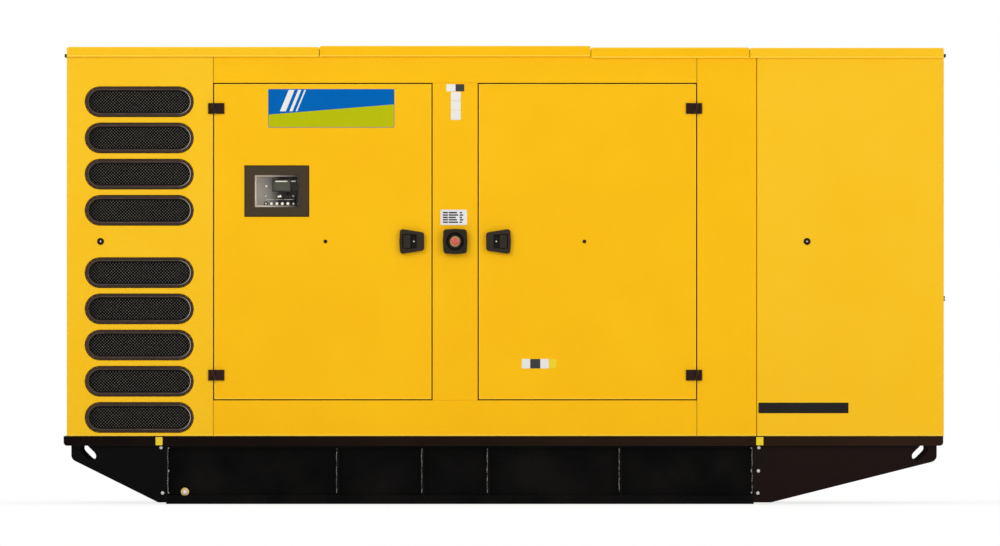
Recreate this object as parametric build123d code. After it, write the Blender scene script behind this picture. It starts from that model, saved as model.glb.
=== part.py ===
from build123d import *

import math
import os

# Canopied diesel generating set. Millimetres, +Z up, front side towards -Y.
# The origin is on the flat bottom of the skid, below the middle of the canopy.

# Whole machine
canopy_length = 4475
canopy_depth = 1500
wall_thickness = 50
panel_top = 2289
deck_level = 297.5
deck_thickness = 6
rail_height = 48
seam_gap = 3
panel_edge = 2

half_length = canopy_length / 2
half_depth = canopy_depth / 2
wall_inside = half_depth - wall_thickness
panel_bottom = deck_level + rail_height
floor_top = deck_level + deck_thickness

# Round forms in flat steps
half_round_steps = 8
corner_steps = 3
bar_sides = 12
drum_sides = 32

# Door bay in the front wall
bay_centre = -256
post_half_width = 115
door_width = 1108
door_bottom = 535
door_top = 2143
door_thickness = 40
door_gap = 6
door_border = 48
door_pan_depth = 8

left_door_start = bay_centre - post_half_width - door_gap - door_width
left_jamb = left_door_start - door_gap
right_jamb = 2 * bay_centre - left_jamb
module_seam = 1283

# Nine air inlets in the vent panel
vent_centre_x = -1868
vent_length = 549
vent_height = 149.5
vent_pitch = 184.7
vent_lowest = 442
vents_below = 5
vent_highest = 2053
vents_above = 4
bezel_width = 15
bezel_proud = 4
vent_recess = 28
vent_back = 38
vent_draft = 12

# Rails, beams and wings of the skid
rail_proud = 6
rail_depth = 96
rail_left_end = -2254
rail_right_end = 2235
rail_corner = 18
end_rail_depth = 70
beam_left = -1731
beam_right = 1268
beam_plate = 8
beam_face = 735
beam_web = 672
lip_height = 43
stiffener_x = (-857, -422.5, -88, 585)
wing_plate = 12
wing_tip_left = -2215
wing_tip_right = 2202
wing_flat_left = 40
wing_flat_right = 88
wing_corner_left = 229
wing_corner_right = 221
wing_corner_radius = 35
wing_ground_gap = 8
slot_width = 50
slot_length = 97
slot_level = 261
slot_from_end = 85

# Tank plug
plug_x = -1635.5
plug_level = 62
plug_radius = 17
plug_collar = 21
plug_collar_depth = 10
plug_head = 14

# Roof
roof_overhang = 12
roof_edges = (-half_length, -948.7, 436.8, 1247.2, half_length)
roof_tops = (2333, 2338, 2330, 2328)
lip_bottoms = (2283, 2284, 2277, 2277)
roof_chamfer = 6
outlet_start = 1420
outlet_end = 2120
outlet_half_depth = 520
outlet_frame = 40
outlet_bar = 10
outlet_bar_pitch = 60
outlet_sunk = 8

# Strips under the roof ends
strip_out = 12
strip_half_height = 8

# Right end wall with its service door
end_door_half_width = 560
end_seam_depth = 8
end_latch_y = -480
end_latch_level = 1048
end_latch_base = 30
end_latch_base_depth = 3
end_latch_pitch = 14
end_latch_radius = 6
end_latch_out = 10

# Door hinges
pin_out = 12
knuckle_radius = 8
pin_radius = 3
pin_play = 0.3
pin_cap = 4
hinge_height = 55
hinge_plate = 7
hinge_levels = (2018.7, 657.8)
frame_leaf_width = 28
door_leaf_width = 54
knuckle_relief = 2

# Latch handles
handle_near_edge = 158
handle_width = 127
handle_near_height = 92
handle_far_height = 130
handle_bulge = 4
handle_depth = 26
handle_level = 1340
handle_corner = 14
handle_rim = 3
handle_floor = 5
grip_start = 38
grip_end = 66
grip_half_height = 36
paddle_start = 71
paddle_end = 107
paddle_half_height = 33
paddle_gap = 5
paddle_thickness = 10
paddle_sunk = 1
paddle_pin_radius = 3
key_radius = 8
key_height = 9

# Emergency stop
stop_width = 126
stop_height = 130
stop_bulge = 4
stop_depth = 36
stop_corner = 13
stop_rim = 3
stop_recess_mouth = 48
stop_recess_floor = 33
stop_floor = 4
ring_outer = 27
ring_bore = 15
ring_thickness = 4
button_radius = 19.5
button_underside = 18
button_thickness = 15
button_dome = 5
stem_radius = 10
stem_end = 12
stop_bore_depth = 30

# Window over the controller, in the left door
window_x = -1166
window_z = 1597
window_frame_width = 323.5
window_frame_height = 255.7
window_frame_thickness = 6
pane_width = 227
pane_height = 164
pane_thickness = 4
pane_recess = 2

# Round panel locks
lock_radius = 18
lock_recess = 13
lock_rise = 3
lock_x = (-2065.6, 1540)

# Control cabinet
cabinet_left = -1400
cabinet_right = -930
cabinet_bottom = 1250
cabinet_top = 1900
cabinet_front = 696
cabinet_depth = 240
cabinet_edge = 8
pedestal_half_width = 130
pedestal_inset = 70
controller_half_width = 115
controller_half_height = 84
controller_rise = 8

# Engine, heights above the shaft
shaft_level = 850
engine_back = -250
engine_front = 850
cylinders = 6
block_half_width = 200
block_half_height = 230
sump_half_width = 150
sump_depth = 120
sump_inset = 60
sump_edge = 40
head_half_width = 170
head_height = 60
head_inset = 20
cover_half_width = 130
cover_height = 70
cover_inset = 40
cover_gap = 20
cover_edge = 12
manifold_y = -260
manifold_rise = 255
manifold_radius = 48
manifold_inset = 80
runner_radius = 28
duct_width = 90
duct_bottom = 100
duct_top = 200
turbo_x = 330
turbo_radius = 62
turbo_top = 1200
flywheel_radius = 300
flywheel_length = 80
gear_case_depth = 40
gear_case_inset = 20
gear_case_over_fan = 60
pulley_radius = 120
pulley_drop = 80
fan_shaft_radius = 45
oil_filter_x = 500
oil_filter_spacing = 140
oil_filter_radius = 50
oil_filter_length = 240
oil_filter_head = 50
oil_filter_drop = 20
oil_filter_clear = 12
foot_reach = 350
foot_length = 100
foot_plate = 25
foot_inset = 60

# Alternator
alternator_back = -1150
alternator_radius = 310
alternator_shield_length = 60
alternator_shield_radius = 250
terminal_half_width = 200
terminal_bottom = 250
terminal_top = 480
terminal_back_inset = 180
terminal_front_inset = 120
terminal_edge = 10
alternator_foot_inset = 140
alternator_leg_half_width = 220

# Bearers and rubber mounts
bearer_y = 330
bearer_width = 80
bearer_height = 120
bearer_start = -1130
bearer_end = 800
mount_height = 60
mount_radius = 45
mounts_per_bearer = 4
mount_inset = 100

bearer_top = floor_top + mount_height + bearer_height

# Cooling group
radiator_start = 1110
radiator_thickness = 120
radiator_half_width = 600
radiator_top = 2120
radiator_border = 60
core_bottom = 180
core_top_margin = 160
core_sunk = 20
fan_level = 1080
fan_radius = 500
fan_start = 1010
fan_depth = 60
fan_blades = 8
fan_hub_radius = 110
blade_root = 95
blade_chord = 120
blade_camber = 16
blade_thickness = 5
blade_pitch = 55
shroud_radius = 522
shroud_wall = 10
shroud_start = 1030

# Exhaust
exhaust_radius = 55
exhaust_level = 2200
exhaust_bend = 110
silencer_x = 1740
silencer_level = 1640
silencer_radius = 200
silencer_end_radius = 170
silencer_end = 25
silencer_half_length = 475
tail_y = 200
tail_radius = 80
tail_gap = 20
hanger_half_width = 60
hanger_thickness = 10
hanger_y = (-400, 380)

# Air filter
filter_start = -150
filter_end = 370
filter_level = 1470
filter_y = 120
filter_radius = 140
filter_cap = 30
filter_cap_radius = 115
filter_bracket_inset = 100
filter_bracket_width = 100
filter_bracket_thickness = 10


def block(x0, x1, y0, y1, z0, z1):
    """A plain block between two corners."""
    centre = ((x0 + x1) / 2, (y0 + y1) / 2, (z0 + z1) / 2)
    return Pos(*centre) * Box(x1 - x0, y1 - y0, z1 - z0)


def front_plane(x, y, z):
    """A sketch plane that faces the front, with its x axis along X and its y axis up."""
    return Plane(origin=(x, y, z), x_dir=(1, 0, 0), z_dir=(0, -1, 0))


def bar_x(x0, x1, y, z, radius, sides=bar_sides):
    """A round bar along X, in flat steps."""
    section = Plane(origin=(x0, y, z), z_dir=(1, 0, 0)) * RegularPolygon(radius, sides)
    return extrude(section, x1 - x0)


def bar_y(x, y0, y1, z, radius, sides=bar_sides):
    """A round bar along Y, in flat steps."""
    return extrude(front_plane(x, y1, z) * RegularPolygon(radius, sides), y1 - y0)


def bar_z(x, y, z0, z1, radius, sides=bar_sides):
    """A round bar along Z, in flat steps."""
    return extrude(Plane(origin=(x, y, z0)) * RegularPolygon(radius, sides), z1 - z0)


def pin_z(x, y, z0, z1, radius):
    """A true cylinder along Z, for hinge pins and their bores."""
    return Pos(x, y, (z0 + z1) / 2) * Cylinder(radius, z1 - z0)


def obround(length, height):
    """A long outline with half-round ends, in flat steps."""
    radius = height / 2
    reach = length / 2 - radius
    step = math.pi / half_round_steps
    angles = [step * index - math.pi / 2 for index in range(half_round_steps + 1)]
    right_end = [(reach + radius * math.cos(angle), radius * math.sin(angle)) for angle in angles]
    left_end = [(-x, -y) for x, y in right_end]
    return make_face(Polyline(*right_end, *left_end, close=True))


def in_flat_steps(outline):
    """The outline with each of its arcs in a few straight steps."""
    points = []
    for edge in outline.face().outer_wire().order_edges():
        steps = 1 if edge.geom_type == GeomType.LINE else corner_steps
        points += [edge @ (index / steps) for index in range(steps)]
    return make_face(Polyline(*points, close=True))


def mirrored_x(shape, x):
    """The shape's mirror image to the other side of a plane at x."""
    return mirror(shape, Plane(origin=(x, 0, 0), z_dir=(1, 0, 0)))


def to_back(shape):
    """The shape's mirror image on the back of the machine."""
    return mirror(shape, Plane.XZ)


def front_and_back(shape):
    """One solid on the front and its twin on the back."""
    return Compound(children=[shape, to_back(shape)])


def front_edges(shape):
    """The edges round the face that is furthest to the front."""
    return shape.faces().sort_by(Axis.Y)[0].edges()


def front_panel(x0, x1, z0, z1):
    """An insulated panel of the front wall with softened outer edges."""
    panel = block(x0, x1, -half_depth, -wall_inside, z0, z1)
    return chamfer(front_edges(panel), panel_edge)


def side_rails():
    """The long rails that the canopy stands on, with rounded lower corners at their ends."""
    outer = half_depth + rail_proud
    rail = block(rail_left_end, rail_right_end, -outer, -outer + rail_depth, deck_level, panel_bottom)
    rail = fillet(rail.edges().filter_by(Axis.Y).group_by(Axis.Z)[0], rail_corner)
    return front_and_back(rail)


def end_rails():
    """The short rails between the long ones at both ends."""
    inner = half_depth + rail_proud - rail_depth
    left = block(rail_left_end, rail_left_end + end_rail_depth, -inner, inner, deck_level, panel_bottom)
    right = block(rail_right_end - end_rail_depth, rail_right_end, -inner, inner, deck_level, panel_bottom)
    left_corner = left.edges().filter_by(Axis.Y).group_by(Axis.Z)[0].sort_by(Axis.X)[0]
    right_corner = right.edges().filter_by(Axis.Y).group_by(Axis.Z)[0].sort_by(Axis.X)[-1]
    return Compound(children=[fillet(left_corner, rail_corner), fillet(right_corner, rail_corner)])


def side_beam():
    """The folded beam under the rail: recessed web, upturned bottom lip, stiffeners and end flanges."""
    web = block(beam_left, beam_right, -beam_web, -beam_web + beam_plate, 0, deck_level)
    top = block(beam_left, beam_right, -beam_face, -beam_web, deck_level - beam_plate, deck_level)
    bottom = block(beam_left, beam_right, -beam_face, -beam_web, 0, beam_plate)
    lip = block(beam_left, beam_right, -beam_face, -beam_face + beam_plate, 0, lip_height)
    beam = web + top + bottom + lip
    flanges = (beam_left, beam_right - beam_plate)
    for x in stiffener_x + flanges:
        beam += block(x, x + beam_plate, -beam_face, -beam_web, 0, deck_level)
    return beam


def wing(side):
    """A tapered end plate with a slanted lifting slot and its bolting flange, on one front corner."""
    joint_x = beam_left if side < 0 else beam_right
    tip_x = wing_tip_left if side < 0 else wing_tip_right
    corner_z = wing_corner_left if side < 0 else wing_corner_right
    slope_end_x = joint_x + side * (wing_flat_left if side < 0 else wing_flat_right)
    outline = make_face(
        Polyline(
            (joint_x, deck_level),
            (tip_x, deck_level),
            (tip_x, corner_z),
            (slope_end_x, wing_ground_gap),
            (joint_x, wing_ground_gap),
            close=True,
        )
    )
    corner = outline.vertices().sort_by_distance((tip_x, corner_z, 0))[0]
    outline = fillet(corner, wing_corner_radius)
    slot_x = tip_x - side * slot_from_end
    outline -= Pos(slot_x, slot_level) * Rot(0, 0, 45 * side) * obround(slot_length, slot_width)
    plate = extrude(front_plane(0, -beam_face + wing_plate, 0) * outline, wing_plate)
    flange_end = joint_x + side * beam_plate
    start_x = min(joint_x, flange_end)
    end_x = max(joint_x, flange_end)
    return plate + block(start_x, end_x, -beam_face, -beam_web, wing_ground_gap, deck_level)


def wings(side):
    """The front and back lifting wings of one end."""
    return front_and_back(wing(side))


def fuel_tank():
    """The base fuel tank between the beams."""
    half_width = beam_web - beam_plate
    return block(beam_left, beam_right, -half_width, half_width, 0, deck_level)


def floor_deck():
    """The deck plate inside the rails."""
    half_width = half_depth + rail_proud - rail_depth
    left = rail_left_end + end_rail_depth
    right = rail_right_end - end_rail_depth
    return block(left, right, -half_width, half_width, deck_level, floor_top)


def drain_plug():
    """The hexagonal tank plug on the front web."""
    collar_face = -beam_web - plug_collar_depth
    collar = bar_y(plug_x, collar_face, -beam_web, plug_level, plug_collar, drum_sides)
    return collar + bar_y(plug_x, collar_face - plug_head, collar_face, plug_level, plug_radius, 6)


def vent_levels():
    """The height of every air inlet's centre."""
    below = [vent_lowest + vent_pitch * row for row in range(vents_below)]
    above = [vent_highest - vent_pitch * row for row in range(vents_above)]
    return below + above


def vent_panel():
    """The panel with nine obround holes for the air inlets."""
    panel = front_panel(-half_length, left_jamb, panel_bottom, panel_top)
    hole = obround(vent_length, vent_height)
    holes = Sketch() + [Pos(vent_centre_x, z) * hole for z in vent_levels()]
    return panel - extrude(front_plane(0, -wall_inside, 0) * holes, wall_thickness)


def vent_grille(z):
    """One moulded inlet in its hole: a bezel that stands proud and a drafted recess behind it."""
    back_face = front_plane(vent_centre_x, -half_depth + vent_back, z)
    body = extrude(back_face * obround(vent_length, vent_height), vent_back + bezel_proud)
    mouth = obround(vent_length - 2 * bezel_width, vent_height - 2 * bezel_width)
    mouth_face = front_plane(vent_centre_x, -half_depth - bezel_proud, z)
    return body - extrude(mouth_face * mouth, -(vent_recess + bezel_proud), taper=vent_draft)


def vent_grilles():
    """The nine inlets of the front panel."""
    return [vent_grille(z) for z in vent_levels()]


def header():
    """The strip above the doors."""
    return front_panel(left_jamb + seam_gap, right_jamb - seam_gap, door_top + door_gap, panel_top)


def sill():
    """The strip below the doors."""
    return front_panel(left_jamb + seam_gap, right_jamb - seam_gap, panel_bottom, door_bottom - door_gap)


def centre_post():
    """The post between the doors."""
    left = bay_centre - post_half_width
    right = bay_centre + post_half_width
    return front_panel(left, right, door_bottom - door_gap, door_top + door_gap)


def centre_post_front():
    """The front post, bored for the stem of the stop button."""
    return centre_post() - bar_y(
        bay_centre, -half_depth, -half_depth + stop_bore_depth, handle_level, ring_bore
    )


def side_panel():
    """The narrow full-height panel right of the doors."""
    return front_panel(right_jamb, module_seam - seam_gap / 2, panel_bottom, panel_top)


def end_panel():
    """The large panel of the air discharge section."""
    return front_panel(module_seam + seam_gap / 2, half_length, panel_bottom, panel_top)


def door_slab():
    """A left-hand door leaf: a folded pan with softened outer edges and a border round its lining."""
    left = left_door_start
    right = left_door_start + door_width
    inside = -half_depth + door_thickness
    door = block(left, right, -half_depth, inside, door_bottom, door_top)
    door = chamfer(front_edges(door), panel_edge)
    return door - block(
        left + door_border,
        right - door_border,
        inside - door_pan_depth,
        inside,
        door_bottom + door_border,
        door_top - door_border,
    )


def window_block(half_width, half_height, y0, y1):
    """A block centred on the control window."""
    return block(
        window_x - half_width,
        window_x + half_width,
        y0,
        y1,
        window_z - half_height,
        window_z + half_height,
    )


def door_left():
    """The left door with its window hole."""
    inside = -half_depth + door_thickness
    return door_slab() - window_block(pane_width / 2, pane_height / 2, -half_depth, inside)


def window_frame():
    """The flat surround of the control window."""
    front = -half_depth - window_frame_thickness
    frame = window_block(window_frame_width / 2, window_frame_height / 2, front, -half_depth)
    frame = chamfer(front_edges(frame), panel_edge)
    return frame - window_block(pane_width / 2, pane_height / 2, front, -half_depth)


def window_pane():
    """The clear pane in the surround."""
    front = -half_depth - window_frame_thickness + pane_recess
    return window_block(pane_width / 2, pane_height / 2, front, front + pane_thickness)


def hinge_pin_x():
    """The hinge line of the left door, in the middle of its gap."""
    return left_door_start - door_gap / 2


def frame_leaf(z):
    """The fixed leaf of a lift-off hinge, with the lower knuckle and its pin, left door."""
    x = hinge_pin_x()
    y = -half_depth - pin_out
    bottom = z - hinge_height / 2
    top = z + hinge_height / 2
    front = -half_depth - hinge_plate
    relief = knuckle_radius + knuckle_relief
    leaf = block(x - frame_leaf_width, x - relief, front, -half_depth, bottom, top)
    leaf += block(x - relief, x, front, -half_depth, bottom, z - pin_play)
    leaf += bar_z(x, y, bottom, z - pin_play, knuckle_radius)
    return leaf + pin_z(x, y, z - pin_play, top - pin_cap - pin_play, pin_radius)


def door_leaf(z):
    """The moving leaf of a lift-off hinge, with the upper knuckle bored for the pin, left door."""
    x = hinge_pin_x()
    y = -half_depth - pin_out
    bottom = z - hinge_height / 2
    top = z + hinge_height / 2
    front = -half_depth - hinge_plate
    relief = knuckle_radius + knuckle_relief
    leaf = block(x + relief, x + door_leaf_width, front, -half_depth, bottom, top)
    leaf += block(x, x + relief, front, -half_depth, z + pin_play, top)
    leaf += bar_z(x, y, z + pin_play, top, knuckle_radius)
    return leaf - pin_z(x, y, z + pin_play, top - pin_cap, pin_radius + pin_play)


def back_hinge(z):
    """A closed hinge of a back door, both leaves and the barrel in one."""
    x = hinge_pin_x()
    bottom = z - hinge_height / 2
    top = z + hinge_height / 2
    front = -half_depth - hinge_plate
    hinge = block(x - frame_leaf_width, x + door_leaf_width, front, -half_depth, bottom, top)
    return hinge + bar_z(x, -half_depth - pin_out, bottom, top, knuckle_radius)


def handle_outline():
    """The handle's outline seen from the front: tall, bulged far side and a shorter near side."""
    near_x = bay_centre - handle_near_edge
    far_x = near_x - handle_width
    near = handle_near_height / 2
    far = handle_far_height / 2
    outline = make_face(
        Polyline(
            (near_x, near),
            (far_x + handle_bulge, far),
            (far_x, 0),
            (far_x + handle_bulge, -far),
            (near_x, -near),
            close=True,
        )
    )
    corners = outline.vertices().sort_by(Axis.X)[1:]
    return in_flat_steps(fillet(corners, handle_corner))


def paddle_pin_x():
    """The paddle's hinge line, near the handle's far side."""
    return bay_centre - handle_near_edge - paddle_end + paddle_thickness / 2


def paddle_pin_y():
    """The depth of the paddle's hinge line."""
    return -half_depth - handle_depth + paddle_thickness / 2 + paddle_sunk


def handle_shell():
    """The moulded latch housing with its grip recess, paddle pocket and key barrel, left door."""
    near_x = bay_centre - handle_near_edge
    front = -half_depth - handle_depth
    floor = -half_depth - handle_floor
    body = extrude(front_plane(0, -half_depth, handle_level) * handle_outline(), handle_depth)
    body = chamfer(front_edges(body), handle_rim)
    body -= block(
        near_x - grip_end,
        near_x - grip_start,
        front,
        floor,
        handle_level - grip_half_height,
        handle_level + grip_half_height,
    )
    body -= block(
        near_x - paddle_end - paddle_gap,
        near_x - grip_end,
        front,
        floor,
        handle_level - paddle_half_height - paddle_gap,
        handle_level + paddle_half_height + paddle_gap,
    )
    key_x = near_x - (grip_start + grip_end) / 2
    return body + bar_y(key_x, floor - key_height, floor, handle_level, key_radius)


def handle_body():
    """The latch housing with the pin that carries its paddle."""
    reach = paddle_half_height + paddle_gap
    return handle_shell() + pin_z(
        paddle_pin_x(), paddle_pin_y(), handle_level - reach, handle_level + reach, paddle_pin_radius
    )


def paddle():
    """The paddle that is pulled to open the left door, bored for its pin."""
    near_x = bay_centre - handle_near_edge
    half = paddle_thickness / 2
    bottom = handle_level - paddle_half_height
    top = handle_level + paddle_half_height
    flap = block(
        paddle_pin_x() - half,
        near_x - paddle_start,
        paddle_pin_y() - half,
        paddle_pin_y() + half,
        bottom,
        top,
    )
    rear_edge = flap.edges().filter_by(Axis.Z).sort_by(Axis.X)[:2]
    flap = chamfer(rear_edge, half / 2)
    return flap - pin_z(paddle_pin_x(), paddle_pin_y(), bottom, top, paddle_pin_radius + pin_play)


def back_handle():
    """A closed latch handle of a back door: the housing with its paddle as a raised pad."""
    near_x = bay_centre - handle_near_edge
    pad = block(
        near_x - paddle_end - paddle_gap,
        near_x - paddle_start,
        -half_depth - handle_depth + paddle_sunk,
        -half_depth,
        handle_level - paddle_half_height,
        handle_level + paddle_half_height,
    )
    return handle_shell() + pad


def stop_outline():
    """The stop housing's outline: a square with rounded corners and gently bulged sides."""
    half_width = stop_width / 2
    half_height = stop_height / 2
    side_x = half_width - stop_bulge
    side_z = half_height - stop_bulge
    outline = make_face(
        Polyline(
            (half_width, 0),
            (side_x, side_z),
            (0, half_height),
            (-side_x, side_z),
            (-half_width, 0),
            (-side_x, -side_z),
            (0, -half_height),
            (side_x, -side_z),
            close=True,
        )
    )
    corners = [corner for corner in outline.vertices() if abs(corner.X) > 1 and abs(corner.Y) > 1]
    return in_flat_steps(fillet(corners, stop_corner))


def stop_housing():
    """The moulded surround of the stop button with its conical recess."""
    body = extrude(front_plane(bay_centre, -half_depth, handle_level) * stop_outline(), stop_depth)
    body = chamfer(front_edges(body), stop_rim)
    front = -half_depth - stop_depth
    floor = -half_depth - stop_floor
    recess = bar_y(bay_centre, front, floor, handle_level, stop_recess_mouth, drum_sides)
    inner_edges = recess.faces().sort_by(Axis.Y)[-1].edges()
    body -= chamfer(inner_edges, stop_recess_mouth - stop_recess_floor)
    return body - bar_y(bay_centre, floor, -half_depth, handle_level, ring_bore)


def stop_ring():
    """The collar round the stop button."""
    inner_y = -half_depth - stop_floor
    outer_y = inner_y - ring_thickness
    ring = bar_y(bay_centre, outer_y, inner_y, handle_level, ring_outer, drum_sides)
    ring = chamfer(front_edges(ring), ring_thickness / 2)
    return ring - bar_y(bay_centre, outer_y, inner_y, handle_level, ring_bore)


def stop_button():
    """The mushroom button with its domed face, on its stem."""
    underside = -half_depth - button_underside
    front = underside - button_thickness
    head = bar_y(bay_centre, front, underside, handle_level, button_radius, drum_sides)
    head = chamfer(front_edges(head), button_dome, button_dome * 2)
    return head + bar_y(bay_centre, underside, -half_depth + stem_end, handle_level, stem_radius)


def panel_locks():
    """The round recessed locks of the panels and the latch on the right end's service door."""
    front = -half_depth - lock_rise
    locks = []
    for x in lock_x:
        lock = bar_y(x, front, -half_depth, handle_level, lock_radius)
        lock -= bar_y(x, front, -half_depth - lock_rise / 2, handle_level, lock_recess)
        locks += [lock, to_back(lock)]
    base_out = half_length + end_latch_base_depth
    half_base = end_latch_base / 2
    latch = block(
        half_length,
        base_out,
        end_latch_y - half_base,
        end_latch_y + half_base,
        end_latch_level - half_base,
        end_latch_level + half_base,
    )
    for step in (-0.5, 0.5):
        stud_level = end_latch_level + step * end_latch_pitch
        latch += bar_x(base_out, half_length + end_latch_out, end_latch_y, stud_level, end_latch_radius)
    return Compound(children=locks + [latch])


def end_wall(side):
    """An insulated end wall between the front and back walls."""
    outer = side * half_length
    inner = side * (half_length - wall_thickness)
    return block(
        min(outer, inner), max(outer, inner), -wall_inside, wall_inside, panel_bottom, panel_top
    )


def end_wall_right():
    """The right end wall with the seam round its service door."""
    start = half_length - end_seam_depth
    half = end_door_half_width
    seam = block(start, half_length, -half, half, door_bottom, door_top)
    seam -= block(
        start,
        half_length,
        -half + seam_gap,
        half - seam_gap,
        door_bottom + seam_gap,
        door_top - seam_gap,
    )
    return end_wall(1) - seam


def end_strips():
    """The black strips under the roof edge of both ends."""
    bottom = panel_top - strip_half_height
    top = panel_top + strip_half_height
    strip = block(half_length, half_length + strip_out, -wall_inside, wall_inside, bottom, top)
    return Compound(children=[strip, mirrored_x(strip, 0)])


def roof_section(index):
    """One roof cap: a slab on the walls with a lip over the front and the back."""
    last = len(roof_tops) - 1
    left = roof_edges[index] + (seam_gap / 2 if index > 0 else 0)
    right = roof_edges[index + 1] - (seam_gap / 2 if index < last else 0)
    outer = half_depth + roof_overhang
    cap = block(left, right, -outer, outer, panel_top, roof_tops[index])
    lip = block(left, right, -outer, -half_depth, lip_bottoms[index], panel_top)
    cap += lip + to_back(lip)
    upper = cap.faces().sort_by(Axis.Z)[-1]
    return chamfer(upper.edges(), roof_chamfer)


def outlet_hole():
    """The air outlet's hole through the last roof section."""
    depth = outlet_half_depth
    return block(outlet_start, outlet_end, -depth, depth, panel_top, roof_tops[-1])


def outlet_grille():
    """The bar grille in the roof outlet."""
    bottom = panel_top
    top = roof_tops[-1] - outlet_sunk
    depth = outlet_half_depth
    inner = depth - outlet_frame
    grille = block(outlet_start, outlet_end, -depth, depth, bottom, top)
    grille -= block(outlet_start + outlet_frame, outlet_end - outlet_frame, -inner, inner, bottom, top)
    count = int((2 * inner) // outlet_bar_pitch)
    first = -outlet_bar_pitch * (count - 1) / 2
    for row in range(count):
        y = first + row * outlet_bar_pitch
        grille += block(outlet_start, outlet_end, y, y + outlet_bar, bottom, top)
    return grille


def control_cabinet():
    """The control cabinet on its pedestal, with the controller's bezel on the front."""
    front = -cabinet_front
    cabinet = block(cabinet_left, cabinet_right, front, front + cabinet_depth, cabinet_bottom, cabinet_top)
    cabinet = chamfer(cabinet.edges().filter_by(Axis.Z), cabinet_edge)
    cabinet += block(
        window_x - pedestal_half_width,
        window_x + pedestal_half_width,
        front + pedestal_inset,
        front + cabinet_depth - pedestal_inset,
        floor_top,
        cabinet_bottom,
    )
    return cabinet + window_block(
        controller_half_width, controller_half_height, front - controller_rise, front
    )


def crankcase():
    """The cylinder block with its sump, whose lower edges are cut, and the cylinder head."""
    width = block_half_width
    bottom = shaft_level - block_half_height
    top = shaft_level + block_half_height
    sump = block(
        engine_back + sump_inset,
        engine_front - sump_inset,
        -sump_half_width,
        sump_half_width,
        bottom - sump_depth,
        bottom,
    )
    sump = chamfer(sump.faces().sort_by(Axis.Z)[0].edges(), sump_edge)
    head = block(
        engine_back + head_inset,
        engine_front - head_inset,
        -head_half_width,
        head_half_width,
        top,
        top + head_height,
    )
    return block(engine_back, engine_front, -width, width, bottom, top) + sump + head


def cylinder_pitch():
    """The distance between two cylinders."""
    return (engine_front - engine_back - 2 * cover_inset) / cylinders


def rocker_covers():
    """A rocker cover over each cylinder."""
    bottom = shaft_level + block_half_height + head_height
    covers = []
    for number in range(cylinders):
        start = engine_back + cover_inset + number * cylinder_pitch()
        end = start + cylinder_pitch() - cover_gap
        cover = block(start, end, -cover_half_width, cover_half_width, bottom, bottom + cover_height)
        covers.append(chamfer(cover.faces().sort_by(Axis.Z)[-1].edges(), cover_edge))
    return covers


def exhaust_manifold():
    """The manifold with a runner from every cylinder and the turbocharger on top."""
    level = shaft_level + manifold_rise
    start = engine_back + manifold_inset
    end = engine_front - manifold_inset
    manifold = bar_x(start, end, manifold_y, level, manifold_radius)
    for number in range(cylinders):
        x = engine_back + cover_inset + (number + 0.5) * cylinder_pitch() - cover_gap / 2
        manifold += bar_y(x, manifold_y, -head_half_width, level, runner_radius)
    return manifold + bar_z(turbo_x, manifold_y, level, turbo_top, turbo_radius)


def engine_ends():
    """The flywheel housing, the gear case with the crank pulley and the fan's shaft."""
    ends = bar_x(engine_back - flywheel_length, engine_back, 0, shaft_level, flywheel_radius, drum_sides)
    half_width = block_half_width - gear_case_inset
    case_end = engine_front + gear_case_depth
    ends += block(
        engine_front,
        case_end,
        -half_width,
        half_width,
        shaft_level - block_half_height + gear_case_inset,
        fan_level + gear_case_over_fan,
    )
    ends += bar_x(case_end, case_end + gear_case_depth, 0, shaft_level - pulley_drop, pulley_radius)
    return ends + bar_x(case_end, fan_start, 0, fan_level, fan_shaft_radius)


def engine_sides():
    """The intake duct on the back side and two oil filters under their head on the front side."""
    width = block_half_width
    duct = block(
        engine_back + manifold_inset,
        engine_front - manifold_inset,
        width,
        width + duct_width,
        shaft_level + duct_bottom,
        shaft_level + duct_top,
    )
    duct = chamfer(duct.faces().sort_by(Axis.Y)[-1].edges(), cover_edge)
    top = shaft_level - oil_filter_drop
    reach = oil_filter_spacing / 2
    edge = reach + oil_filter_radius + oil_filter_clear
    filter_axis = -width - oil_filter_radius - oil_filter_clear
    head = block(
        oil_filter_x - edge,
        oil_filter_x + edge,
        filter_axis - oil_filter_radius - oil_filter_clear,
        -width,
        top,
        top + oil_filter_head,
    )
    for x in (oil_filter_x - reach, oil_filter_x + reach):
        head += bar_z(x, filter_axis, top - oil_filter_length, top, oil_filter_radius)
    return [duct, head]


def feet(places, half_width, leg_top):
    """Foot plates on the bearers, with the legs that carry the machine on them."""
    plate_top = bearer_top + foot_plate
    parts = []
    for x in places:
        plate = block(x, x + foot_length, -foot_reach, foot_reach, bearer_top, plate_top)
        parts.append(plate + block(x, x + foot_length, -half_width, half_width, plate_top, leg_top))
    return parts


def engine():
    """The six-cylinder engine on its feet."""
    places = (engine_back + foot_inset, engine_front - foot_inset - foot_length)
    body = crankcase() + rocker_covers() + exhaust_manifold() + engine_ends() + engine_sides()
    return body + feet(places, block_half_width, shaft_level)


def alternator():
    """The alternator: barrel, end shield, terminal box and feet."""
    end = engine_back - flywheel_length
    start = alternator_back + alternator_shield_length
    barrel = bar_x(start, end, 0, shaft_level, alternator_radius, drum_sides)
    barrel += bar_x(alternator_back, start, 0, shaft_level, alternator_shield_radius, drum_sides)
    box = block(
        alternator_back + terminal_back_inset,
        end - terminal_front_inset,
        -terminal_half_width,
        terminal_half_width,
        shaft_level + terminal_bottom,
        shaft_level + terminal_top,
    )
    box = chamfer(box.faces().sort_by(Axis.Z)[-1].edges(), terminal_edge)
    places = (alternator_back + alternator_foot_inset, end - alternator_foot_inset - foot_length)
    return barrel + box + feet(places, alternator_leg_half_width, shaft_level)


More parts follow.
